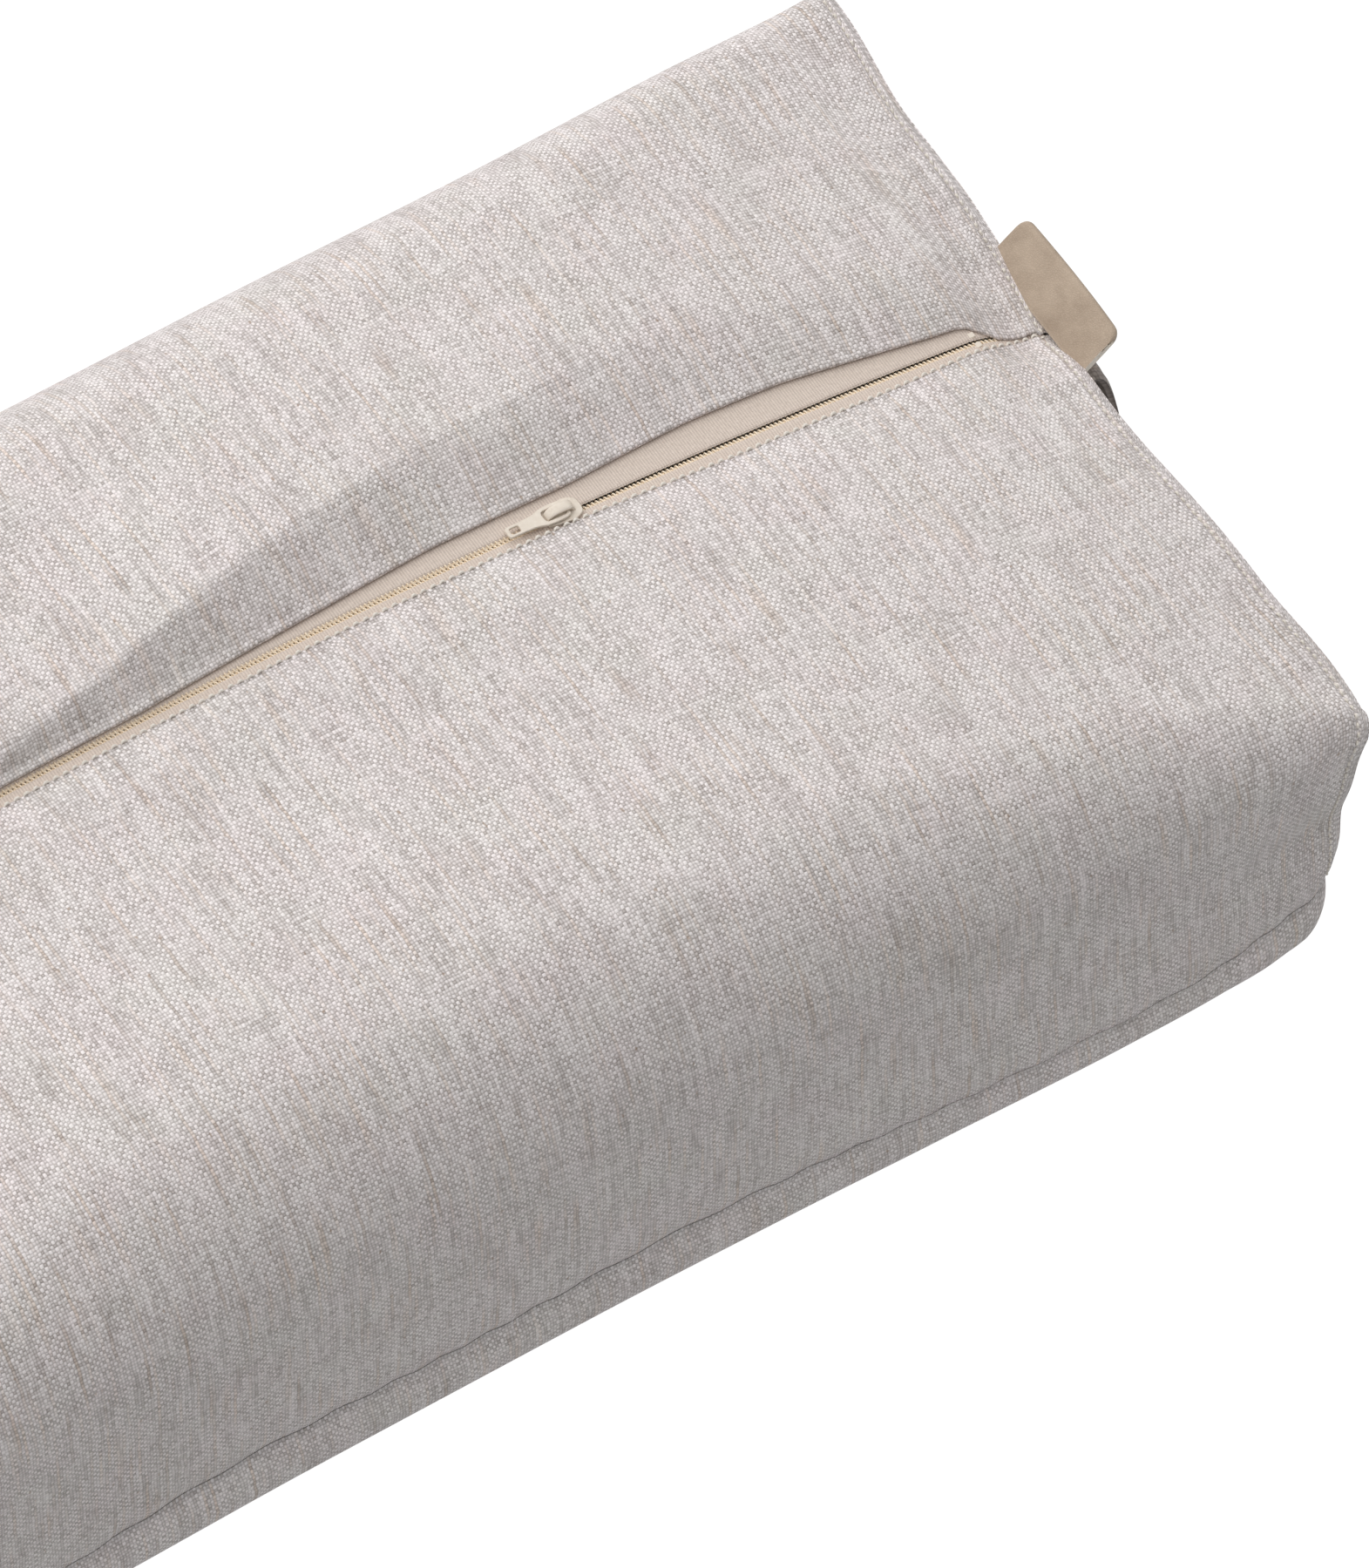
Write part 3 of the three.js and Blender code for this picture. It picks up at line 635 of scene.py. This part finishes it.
def make_stage():
    scene = bpy.context.scene
    scene.view_settings.view_transform = "Standard"
    scene.view_settings.look = "None"
    scene.world = bpy.data.worlds.new("studio")
    scene.world.use_nodes = True
    sky = scene.world.node_tree.nodes["Background"]
    sky.inputs[0].default_value = (0.97, 0.985, 1.0, 1.0)
    sky.inputs[1].default_value = 0.26
    sun = bpy.data.objects.new("key", bpy.data.lights.new("key", "SUN"))
    sun.data.energy = 2.62
    sun.data.angle = math.radians(115)
    sun.data.color = (1.0, 0.985, 0.978)
    sun.rotation_mode = "QUATERNION"
    sun.rotation_quaternion = Vector((-0.20, 0.52, 1.0)).to_track_quat("Z", "Y")
    scene.collection.objects.link(sun)
    side = 9000.0
    corners = [[-side, -side, -0.6], [side, -side, -0.6], [side, side, -0.6], [-side, side, -0.6]]
    floor = new_mesh("floor", corners, [(0, 1, 2, 3)])
    pale = Nodes("pale_floor")
    pale.set(Roughness=0.9, Base_Color=grey(0.04), Emission_Color=grey(1.0), Emission_Strength=1.02)
    floor.data.materials.append(pale.material)
    floor.visible_diffuse = False
    bpy.ops.mesh.primitive_uv_sphere_add(segments=48, ring_count=24, radius=45)
    backdrop = bpy.context.object
    backdrop.name = "backdrop"
    backdrop.data.materials.append(pale.material)
    bounce = new_mesh("floor_bounce", np.array(corners) - [0, 0, 0.3], [(0, 1, 2, 3)])
    glow = Nodes("floor_glow")
    glow.set(Base_Color=grey(0.0), Emission_Color=grey(1.0), Emission_Strength=0.42)
    bounce.data.materials.append(glow.material)
    bounce.visible_camera = False
    for ray in ("diffuse", "glossy", "transmission", "volume_scatter", "shadow"):
        setattr(backdrop, f"visible_{ray}", False)


# ---------- cover ----------
FRONT_SHARES = np.concatenate([np.linspace(0, 0.055, 20), np.linspace(0.062, 1, 96)])
REAR_SHARES = np.concatenate([np.linspace(0, 0.045, 16), np.linspace(0.052, 0.2, 34), np.linspace(0.212, 1, 84)])
BASE_SHARES = np.concatenate([np.linspace(0, 0.1, 14), np.linspace(0.12, 0.88, 40), np.linspace(0.9, 1, 14)])


def finish_panel(grid, seed, top_only=True):
    """Adds the end pull, the seam roll and the stuffing's unevenness to a straight-lofted panel."""
    x, y, z = grid[..., 0], grid[..., 1], grid[..., 2]
    lifted = smooth((z - 40) / 50)
    n = normals_of(grid)
    n *= np.sign((n * (grid - [0, 0, 60]) * [0, 1, 1]).sum(-1, keepdims=True))
    e = END_X - np.abs(x)
    soft = smooth(e / 60) * 1.3
    bumps = undulation(x, y, z, seed) * soft * smooth((np.abs(y - ZIP_Y) - 8) / 40)
    gather = 0.32 * np.sin(y * 0.43 + 2.1 * np.sin(y * 0.071)) * np.exp(-((np.maximum(e - 5, 0) / 11) ** 1.5))
    above = np.maximum(z - eased(x, LOWER_SEAM), 0)
    foot_gather = 0.35 * np.sin(x * 0.31 + 2.4 * np.sin(x * 0.043)) * np.exp(-((above / 12) ** 1.5))
    bumps += (gather * smooth((z - 30) / 40) * smooth((e - 4) / 3) + foot_gather * (np.abs(y) > 100))
    grid = grid + n * (seam_roll(x) + bumps)[..., None]
    tucked = corner_round(x, y, z)
    grid[..., 0] += end_pull(x, y, z)
    grid[..., 1] += tucked
    return grid


def corner_crease(grid):
    """The soft valley on the front side that runs down and inward from each upper corner."""
    x, y, z = grid[..., 0], grid[..., 1], grid[..., 2]
    e = END_X - np.abs(x)
    line = z - (62 - 0.12 * e)
    depth = 3.4 * np.exp(-((line / 12.0) ** 2)) * smooth(1 - e / 80) * smooth((-y - 120) / 25)
    grid[..., 1] += depth
    return grid


def make_cover():
    xs = along_grid()
    front = corner_crease(finish_panel(panel_grid(front_section, xs, FRONT_SHARES), SEED))
    rear = finish_panel(panel_grid(rear_section, xs, REAR_SHARES), SEED + 1)
    base = panel_grid(base_section, xs, BASE_SHARES)
    x, y, z = base[..., 0].copy(), base[..., 1].copy(), base[..., 2]
    base[..., 0] += end_pull(x, y, z)
    base[..., 1] += corner_round(x, y, z)
    base[:, 0] = front[:, -1] + [0, 0, -0.3]
    base[:, -1] = rear[:, -1] + [0, 0, -0.3]
    pieces = {}
    for name, grid, outward in (("front", front, -1), ("rear", rear, 1), ("base", base, -1)):
        piece = shell(f"linen_{name}_panel", grid, CLOTH, outward)
        placed(piece, "pillow", LINEN, "linen", f"cover_{name}_panel")
        pieces[name] = grid
    return pieces


def end_loop(panels, row):
    """The cover's outline at one end, as one closed loop of points."""
    front, rear, base = panels["front"][row], panels["rear"][row], panels["base"][row]
    return np.vstack([front[6:], base[1:-1], rear[4:][::-1]])


def make_end(panels, side):
    name = "right" if side > 0 else "left"
    loop = end_loop(panels, -1 if side > 0 else 0)
    loop = spaced(np.vstack([loop, loop[:1]]), np.linspace(0, 1, 300, endpoint=False))
    centre = np.array([loop[:, 0].mean(), 0.0, 58.0])
    rings = np.concatenate([[1.0, 0.992, 0.98, 0.965, 0.95], np.linspace(0.92, 0.06, 26)])
    out = []
    for r in rings:
        ring = centre + (loop - centre) * r
        inset = 1.0 * np.exp(-(((1 - r) / 0.012) ** 2))
        ring[:, 0] = loop[:, 0] * r**2 + centre[0] * (1 - r**2)
        ring[:, 0] += side * (END_BULGE * (1 - r**2) ** 1.4 - inset + 0.2)
        out.append(ring)
    grid = np.array(out)
    n = np.zeros_like(grid)
    n[..., 0] = side
    rows, cols = grid.shape[:2]
    points = np.vstack([grid.reshape(-1, 3), grid[-1].mean(0)[None]])
    uv = points[:, 1:3] - [0, 0]
    outer = grid_faces(rows, cols, closed=True, flip=side > 0).tolist()
    last = (rows - 1) * cols
    fan = [[last + i, last + (i + 1) % cols, rows * cols] for i in range(cols)]
    fan = fan if side > 0 else [f[::-1] for f in fan]
    count = len(points)
    back = points - [side * CLOTH, 0, 0]
    inner = [[i + count for i in f[::-1]] for f in outer + fan]
    rim = rim_faces(np.arange(cols), count)
    rim = rim.tolist() if side > 0 else rim[:, ::-1].tolist()
    piece = new_mesh(f"linen_end_{name}", np.vstack([points, back]), outer + fan + inner + rim,
                     np.vstack([uv, uv]))
    face_outward(piece)
    placed(piece, "pillow", LINEN, "linen", f"cover_end_panel_{name}")
    return loop


# ---------- stitches ----------
def stitch_row(name, line, up, pitch, length, radius, body, *nodes, lift=0.2):
    """A row of separate stitches on a line. Each is a thread that rises, lies flat and dives."""
    run = np.concatenate([[0], np.cumsum(np.linalg.norm(np.diff(line, axis=0), axis=1))])
    count = int(run[-1] // pitch)
    rng = np.random.default_rng(SEED + count)
    points, faces = [], []
    sides, rings = 6, 6
    share = np.linspace(-0.5, 0.5, rings)
    height = np.array([-0.9, 0.15, 0.55, 0.55, 0.15, -0.9]) * radius
    girth = np.array([0.8, 1, 1, 1, 1, 0.8]) * radius
    for k in range(count):
        middle = (k + 0.5) * pitch + rng.normal(0, 0.05)
        at = middle + share * length
        centre = np.stack([np.interp(at, run, line[:, c]) for c in range(3)], 1)
        lifted = np.stack([np.interp(at, run, up[:, c]) for c in range(3)], 1)
        lifted /= np.linalg.norm(lifted, axis=1, keepdims=True)
        along = centre[-1] - centre[0]
        along /= np.linalg.norm(along)
        across = np.cross(along, lifted)
        sway = across * rng.normal(0, 0.06)
        centre = centre + lifted * (height + lift)[:, None] + sway
        first = len(points)
        for ring in range(rings):
            for s in range(sides):
                turn = 2 * math.pi * s / sides
                points.append(centre[ring] + girth[ring] * (math.cos(turn) * across[ring]
                                                            + math.sin(turn) * lifted[ring]))
        faces += grid_faces(rings, sides, offset=first, closed=True).tolist()
        faces.append([first + s for s in range(sides)])
        faces.append([first + (rings - 1) * sides + s for s in reversed(range(sides))])
    piece = new_mesh(name, np.array(points), faces)
    return placed(piece, body, THREAD, "thread", *nodes)


def make_stitching(panels):
    front, rear = panels["front"], panels["rear"]
    front_up, rear_up = -normals_of(front), normals_of(rear)
    hem = slice(3, -3)
    column = 9
    stitch_row("stitches_zipper_front", front[hem, column], front_up[hem, column], 3.3, 2.2, 0.48,
               "pillow", "stitch_zipper_front", lift=0.35)
    for end, row in (("right", -9), ("left", 8)):
        stitch_row(f"stitches_end_{end}_front", front[row, 12:-2], front_up[row, 12:-2], 2.8, 1.9, 0.46,
                   "pillow", f"stitch_end_{end}_front")
        stitch_row(f"stitches_end_{end}_rear", rear[row, 8:-2], rear_up[row, 8:-2], 2.8, 1.9, 0.46,
                   "pillow", f"stitch_end_{end}_rear")


# ---------- zipper ----------
PARTING = 0.3


def parted(x):
    """0 where the zipper is closed, behind the slider, and 1 where it is open, ahead of it."""
    return np.maximum(smooth((x - (SLIDER_X - 4)) / 10), smooth((-258 - x) / 10))


def tape_edge(x, side):
    """How far a tape's edge lies from the chain's middle: the rear tape covers its open coil."""
    return 0.95 + (PARTING - 0.95 if side > 0 else 0.75) * parted(x)


def coil_middle(x, side):
    return 1.0 + (0.75 if side > 0 else 0.5) * parted(x)


def make_tapes():
    xs = np.linspace(-309, 309, 260)
    for name, side in (("rear", 1), ("front", -1)):
        across = np.array([0.0, 0.25, 0.7, 1.4, 3, 5, 8, 11, 14.4])
        dip = np.array([-0.55, -0.12, 0, 0.06, 0.02, 0, 0, 0, 0]) - 0.05
        grid = np.zeros((len(xs), len(across), 3))
        grid[..., 0] = xs[:, None]
        grid[..., 1] = ZIP_Y + side * (tape_edge(xs, side)[:, None] + across[None, :])
        grid[..., 2] = chain_z(xs)[:, None] + dip[None, :]
        piece = shell(f"woven_tape_{name}", grid, 0.55, side)
        placed(piece, "pillow", TAPE, "zipper_tape", f"zipper_tape_{name}")


def make_coils():
    pitch, turn_points, sides, wire = 1.45, 10, 5, 0.33
    length = 2 * 302
    turns = int(length / pitch)
    t = np.arange(turns * turn_points + 1) / turn_points
    x = -302 + t * pitch
    for name, side in (("rear", 1), ("front", -1)):
        angle = 2 * math.pi * t + (0 if side > 0 else math.pi)
        y = ZIP_Y + side * coil_middle(x, side) + 1.2 * np.cos(angle)
        z = chain_z(x) - 1.12 + 0.70 * np.sin(angle)
        path = np.stack([x, y, z], 1)
        along = np.gradient(path, axis=0)
        along /= np.linalg.norm(along, axis=1, keepdims=True)
        out = np.stack([np.zeros_like(x), np.cos(angle), np.sin(angle)], 1)
        across = np.cross(along, out)
        ring = 2 * math.pi * np.arange(sides) / sides
        grid = path[:, None] + wire * (np.cos(ring)[None, :, None] * out[:, None]
                                       + np.sin(ring)[None, :, None] * across[:, None])
        rows = len(path)
        faces = grid_faces(rows, sides, closed=True).tolist()
        faces.append(list(range(sides)))
        faces.append([(rows - 1) * sides + s for s in reversed(range(sides))])
        points = [grid.reshape(-1, 3)]
        xs = np.linspace(-301, 301, 200)
        turn = 2 * math.pi * np.arange(8) / 8
        cord = np.zeros((len(xs), 8, 3))
        cord[..., 0] = xs[:, None]
        cord[..., 1] = ZIP_Y + side * coil_middle(xs, side)[:, None] + 0.80 * np.cos(turn)
        cord[..., 2] = chain_z(xs)[:, None] - 1.12 + 0.34 * np.sin(turn)
        first = len(points[0])
        points.append(cord.reshape(-1, 3))
        faces += grid_faces(200, 8, offset=first, closed=True).tolist()
        faces += [[first + k for k in range(8)], [first + 199 * 8 + k for k in reversed(range(8))]]
        piece = new_mesh(f"nylon_coil_{name}", np.vstack(points), faces)
        placed(piece, "pillow", NYLON, "zipper_coil", f"zipper_coil_{name}")


def flat_solid(name, outlines, thickness, bevel, resolution=2):
    """A plate with rounded edges from an outline and its holes, centred on z = 0."""
    curve = bpy.data.curves.new(name, "CURVE")
    curve.dimensions = "2D"
    curve.fill_mode = "BOTH"
    curve.extrude = (thickness / 2 - bevel) * MM
    curve.bevel_depth = bevel * MM
    curve.bevel_resolution = resolution
    curve.offset = -bevel * MM
    for outline in outlines:
        line = curve.splines.new("POLY")
        line.points.add(len(outline) - 1)
        for point, (a, b) in zip(line.points, outline):
            point.co = (a * MM, b * MM, 0, 1)
        line.use_cyclic_u = True
    obj = bpy.data.objects.new(name, curve)
    bpy.context.scene.collection.objects.link(obj)
    bpy.context.view_layer.update()
    mesh = bpy.data.meshes.new_from_object(obj.evaluated_get(bpy.context.evaluated_depsgraph_get()))
    bpy.data.objects.remove(obj)
    result = bpy.data.objects.new(name, mesh)
    bpy.context.scene.collection.objects.link(result)
    return result


def rounded_outline(a0, a1, b0, b1, radius, steps=6):
    points = []
    for ca, cb, start in ((a1 - radius, b0 + radius, -90), (a1 - radius, b1 - radius, 0),
                          (a0 + radius, b1 - radius, 90), (a0 + radius, b0 + radius, 180)):
        for k in range(steps + 1):
            turn = math.radians(start + 90 * k / steps)
            points.append((ca + radius * math.cos(turn), cb + radius * math.sin(turn)))
    return points


def joined_as(name, parts):
    """One object from several, with smooth shading by angle."""
    bpy.ops.object.select_all(action="DESELECT")
    for part in parts:
        part.select_set(True)
    bpy.context.view_layer.objects.active = parts[0]
    if len(parts) > 1:
        bpy.ops.object.join()
    parts[0].name = name
    bpy.ops.object.shade_smooth_by_angle(angle=math.radians(38))
    return parts[0]


PLATE = 1.1
GAP = 0.3


def on_arc(obj):
    """Moves a piece drawn about the slider's middle, with the tape's top at z = 0, on to the arc."""
    place = (Matrix.Translation(Vector((0, ZIP_Y, ARC_CENTRE_Z)) * MM) @ Matrix.Rotation(SLIDER_ANGLE, 4, "Y")
             @ Matrix.Translation(Vector((0, 0, ARC_RADIUS)) * MM))
    obj.data.transform(place)
    return obj


def slider_plan(inset):
    wide, nose, tail = 4.2 - inset, NOSE - inset, NOSE - SLIDER_LENGTH + inset
    half = spline([(tail, 0), (tail + 0.15, -wide + 1.5), (tail + 1.1, -wide + 0.9), (nose - 4.6, -wide),
                   (nose - 1.6, -wide + 0.8), (nose - 0.35, -wide * 0.52), (nose, 0)], 6)
    return [tuple(p) for p in half] + [(a, -b) for a, b in half[-2:0:-1]]


def raised(obj, z):
    obj.data.transform(Matrix.Translation((0, 0, z * MM)))
    return obj


def make_slider():
    top = raised(flat_solid("top_plate", [slider_plan(0)], PLATE, 0.32, 3), GAP + PLATE / 2)
    floor_z = -0.7 - GAP - 1.3 - GAP - PLATE / 2
    bottom = raised(flat_solid("bottom_plate", [slider_plan(0.2)], PLATE, 0.3), floor_z)
    neck_plan = rounded_outline(NOSE - 5.4, NOSE - 1.1, -0.45, 0.45, 0.3)
    neck = raised(flat_solid("neck", [neck_plan], 4.0, 0.1, 1), (GAP + floor_z) / 2)
    side_line = spline([(-6.0, 1.2), (-5.6, 2.4), (-4.3, 3.6), (-2.0, 4.2), (0.8, 4.2), (3.0, 3.5), (4.1, 1.2)], 6)
    half = np.interp(side_line[:, 0], [-6, -4.3, -2, 2, 4.1], [1.35, 1.6, 1.72, 1.7, 1.45])
    inner = np.array([[p[0] * 0.84 - 0.15, p[1] - (0.95 if p[1] > 2 else 0.4)] for p in side_line])
    inner[:, 1] = np.maximum(inner[:, 1], 1.0)
    ring = []
    for (ox, oz), (ix, iz), h in zip(side_line, inner, half):
        ring.append([(ox, -h + 0.3, oz - 0.12), (ox, -h * 0.5, oz), (ox, h * 0.5, oz), (ox, h - 0.3, oz - 0.12),
                     (ox, h, oz - 0.38), (ix, h - 0.05, iz), (ix, -h + 0.05, iz), (ox, -h, oz - 0.38)])
    ring = np.array(ring)
    rows, cols = ring.shape[:2]
    faces = grid_faces(rows, cols, closed=True).tolist()
    faces += [list(range(cols)), [(rows - 1) * cols + s for s in reversed(range(cols))]]
    bridge = new_mesh("bridge", ring.reshape(-1, 3), faces)
    flanges = []
    for side in (-1, 1):
        plan = rounded_outline(NOSE - 10.6, NOSE - 4.4, *sorted((side * 3.3, side * 4.05)), 0.3)
        flanges.append(raised(flat_solid("flange", [plan], 0.95, 0.15, 1), -1.35 if side > 0 else -1.35))
    slider = on_arc(joined_as("cast_slider_body", [top, bottom, neck, bridge, *flanges]))
    placed(slider, "slider", ENAMEL, "enamel", "zipper_slider_body")


def make_pull():
    pivot, end = NOSE - 5 + 0.35, NOSE - 25.5
    half = spline([(end, 0), (end + 0.1, -1.3), (end + 0.9, -1.95), (end + 4.5, -2.05), (end + 8.5, -2.2),
                   (end + 10.8, -2.6), (end + 13, -3.25), (end + 17, -3.4), (pivot - 1.2, -3.1),
                   (pivot - 0.1, -2.4), (pivot, 0)], 6)
    outline = [tuple(p) for p in half] + [(a, -b) for a, b in half[-2:0:-1]]
    window = rounded_outline(end + 1.3, end + 4.5, -1.1, 1.1, 0.55)
    ring_hole = rounded_outline(end + 12.6, pivot - 0.75, -2.05, 2.05, 1.2)
    level = GAP + PLATE + GAP + 0.5
    pull = flat_solid("plate", [outline, window, ring_hole], 1.0, 0.3, 3)
    pull = on_arc(raised(joined_as("enamel_pull", [pull]), level))
    placed(pull, "pull", ENAMEL, "enamel", "zipper_pull_tab")


def make_stops():
    for name, side, y0, y1 in (("top_stop_rear", 1, 1.0, 3.0), ("top_stop_front", 1, -3.0, -1.0),
                               ("bottom_stop", -1, -3.0, 3.0)):
        cad = f"zipper_{name}"
        a, b = low(cad), high(cad)
        plan = rounded_outline(a[0], b[0], a[1], b[1], 0.45)
        stop = flat_solid(name, [plan], 0.95, 0.25)
        stop = joined_as(f"enamel_{name}", [raised(stop, chain_z((a[0] + b[0]) / 2) - 0.15)])
        placed(stop, "pillow", ENAMEL, "enamel", cad)


# ---------- leather tab ----------
TAB_WIDTH = 50.0
TAB_LENGTH = 17.6
TAB_CORNER = 3.0
TAB_TILT = math.radians(40)
HIDE = 1.25
TAB_ROOT_FROM_PIVOT = np.array([-6.9, 0.0, -4.2])


def make_tab():
    """One strip of hide folded outward on itself, with pale cut edges at both sides, brightened further as a painted
    highlight.
    """
    half = HIDE + 0.1
    turn = np.radians(np.linspace(-90, 90, 9))
    bend = np.stack([TAB_LENGTH - half + half * np.cos(turn), half * np.sin(turn)], 1)
    path = np.vstack([[[0.4, -half + 0.15], [4, -half + 0.02], [9, -half - 0.05]], bend,
                      [[9, half + 0.2], [4, half + 0.1], [0.4, half - 0.25]]])
    path = spaced(spline(path, 6), np.linspace(0, 1, 44))
    near_side = [-1, -0.997, -0.99, -0.975, -0.95, -0.92]
    ys = np.concatenate([near_side, np.linspace(-0.87, 0.87, 17), [-a for a in reversed(near_side)]])
    grid = np.zeros((len(ys), len(path), 3))
    for i, s in enumerate(ys):
        inside = max(0.0, abs(s) * TAB_WIDTH / 2 - (TAB_WIDTH / 2 - TAB_CORNER))
        corner = TAB_CORNER - math.sqrt(TAB_CORNER**2 - inside**2)
        bow = 0.7 * (1 - s * s)
        reach = path[:, 0] + (bow - corner) * smooth((path[:, 0] - 8) / 7)
        grid[i, :, 0] = reach
        grid[i, :, 1] = s * TAB_WIDTH / 2
        grid[i, :, 2] = path[:, 1] * (1 - 0.18 * max(0.0, abs(s) - 0.9) / 0.1) + 0.35 * math.sin(2.1 * s + 0.4)
    piece = shell("folded_leather_tab", grid, HIDE, 1)
    mesh = piece.data
    mesh.materials.clear()
    rows, cols = grid.shape[:2]
    surface = 2 * (rows - 1) * (cols - 1)
    root = TAB_PIVOT + TAB_ROOT_FROM_PIVOT
    place = Matrix.Translation(Vector(root) * MM) @ Matrix.Rotation(-TAB_TILT, 4, "Y")
    mesh.transform(place)
    mesh.materials.append(LEATHER)
    # The rim faces take the pale cut edge with its painted highlight.
    mesh.materials.append(PALE_EDGE_AND_HIGHLIGHT)
    for face in mesh.polygons:
        face.material_index = 1 if face.index >= surface else 0
        face.use_smooth = face.index < surface
    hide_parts("leather_tab")
    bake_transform(piece)


# ---------- carry handle ----------
def make_handle():
    cad_low, cad_high = low("carry_handle"), high("carry_handle")
    root = END_X + 0.2
    bottom, top = cad_low[2], cad_high[2]
    middle_z = 0.5 * (top + bottom)
    path = spline([(root - 6, top - 5.0), (root - 2.5, top - 4.5), (root + 2.2, top - 7), (root + 5.4, top - 16),
                   (root + 8.6, middle_z + 12), (root + 10, middle_z), (root + 8.5, bottom + 20),
                   (root + 3, bottom + 7), (root - 4, bottom + 4), (root - 10, bottom + 4.5)], 10)
    path = spaced(path, np.linspace(0, 1, 70))
    across = np.concatenate([[-1, -0.96, -0.9, -0.82, -0.76], np.linspace(-0.6, 0.6, 9), [0.76, 0.82, 0.9, 0.96, 1]])
    middle, half = (cad_low[1] + cad_high[1]) / 2, (cad_high[1] - cad_low[1]) / 2
    grid = np.zeros((len(across), len(path), 3))
    edge = np.clip((np.abs(across) - 0.82) / 0.18, 0, 1)
    puff = 0.35 * np.cos(across * math.pi / 2) - 0.25 * np.exp(-(((np.abs(across) - 0.79) / 0.05) ** 2)) - 0.7 * edge**2
    tangent = np.gradient(path, axis=0)
    tangent /= np.linalg.norm(tangent, axis=1, keepdims=True)
    out = np.stack([-tangent[:, 1], tangent[:, 0]], 1)
    for i, a in enumerate(across):
        grid[i, :, 0] = path[:, 0] + out[:, 0] * puff[i]
        grid[i, :, 1] = middle + half * a
        grid[i, :, 2] = path[:, 1] + out[:, 1] * puff[i]
    piece = shell("linen_handle_strap", grid, 1.8, 1)
    # The strap's darker linen is painted shade.
    placed(piece, "pillow", SHADED_STRAP_LINEN, "linen", "carry_handle")


# ---------- filling ----------
def filling_loop(x, inset):
    """Closed (y, z) outline inside the cover at x, drawn in by inset."""
    front = spline(front_section(x)[6:], 8)
    rear = spline(rear_section(x)[5:], 8)
    base = spline(base_section(x)[2:-2], 6)
    loop = np.vstack([front, base, rear[::-1]])
    held = chain_z(x) - 4.2
    beside = np.maximum(np.abs(loop[:, 0] - ZIP_Y) - 17, 0)
    loop = spaced(np.vstack([loop, loop[:1]]), np.linspace(0, 1, 150, endpoint=False))
    step = np.roll(loop, -1, 0) - np.roll(loop, 1, 0)
    step /= np.maximum(np.linalg.norm(step, axis=1, keepdims=True), 1e-9)
    inward = np.stack([-step[:, 1], step[:, 0]], 1)
    loop = loop + inward * inset
    beside = np.maximum(np.abs(loop[:, 0] - ZIP_Y) - 17, 0)
    loop[:, 1] = np.minimum(loop[:, 1], held - inset * 0.5 + beside * 0.55)
    return loop


def tube_solid(xs, inset):
    rows = []
    for x in xs:
        loop = filling_loop(x, inset)
        row = np.column_stack([np.full(len(loop), x), loop])
        row[:, 0] += end_pull(row[:, 0], row[:, 1], row[:, 2])
        rows.append(row)
    return np.array(rows)


def closed_tube(grid):
    rows, cols = grid.shape[:2]
    faces = grid_faces(rows, cols, closed=True, flip=True).tolist()
    return faces + [list(range(cols))[::-1], [(rows - 1) * cols + s for s in range(cols)]]


LABEL_X = 6.2 - END_X


def make_label():
    """A blank label hanging inside the left end, flat against the liner."""
    a, b = low("care_label"), high("care_label")
    ys, zs = np.linspace(a[1], b[1], 9), np.linspace(a[2], b[2], 15)
    grid = np.zeros((len(ys), len(zs), 3))
    grid[..., 1], grid[..., 2] = ys[:, None], zs[None, :]
    grid[..., 0] = LABEL_X + 0.25 * np.sin(ys[:, None] * 0.2)
    piece = shell("blank_satin_label", grid, b[0] - a[0], -1)
    placed(piece, "pillow", LABEL, "label", "care_label")


def make_filling():
    reach = END_X - 7.0
    xs = np.concatenate([[-reach], np.linspace(-reach + 4, reach - 4, 56), [reach]])
    liner = tube_solid(xs, LINER_INSET)
    inner = tube_solid(xs * (reach - 0.8) / reach, LINER_INSET + 0.8)
    outer_faces, inner_faces = closed_tube(liner), closed_tube(inner)
    count = liner.shape[0] * liner.shape[1]
    uv = liner.reshape(-1, 3)[:, [0, 1]]
    faces = outer_faces + [[i + count for i in f[::-1]] for f in inner_faces]
    case = new_mesh("calico_liner", np.vstack([liner.reshape(-1, 3), inner.reshape(-1, 3)]), faces, np.vstack([uv, uv]))
    placed(case, "pillow", CALICO, "liner_cotton", "liner_case")
    pad = tube_solid(xs * (reach - 2) / reach, LINER_INSET + 2.0)
    sleeve = new_mesh("wadding_sleeve", pad.reshape(-1, 3), closed_tube(pad))
    placed(sleeve, "pillow", WADDING, "wadding", "wadding_wrap")
    core = frame["nodes"]["foam_core"]
    core.data.materials.clear()
    core.data.materials.append(FOAM)
    make_label()


make_camera()
make_stage()
panels = make_cover()
make_end(panels, 1)
make_end(panels, -1)
make_stitching(panels)
make_tapes()
make_coils()
make_slider()
make_pull()
make_stops()
make_tab()
make_handle()
make_filling()
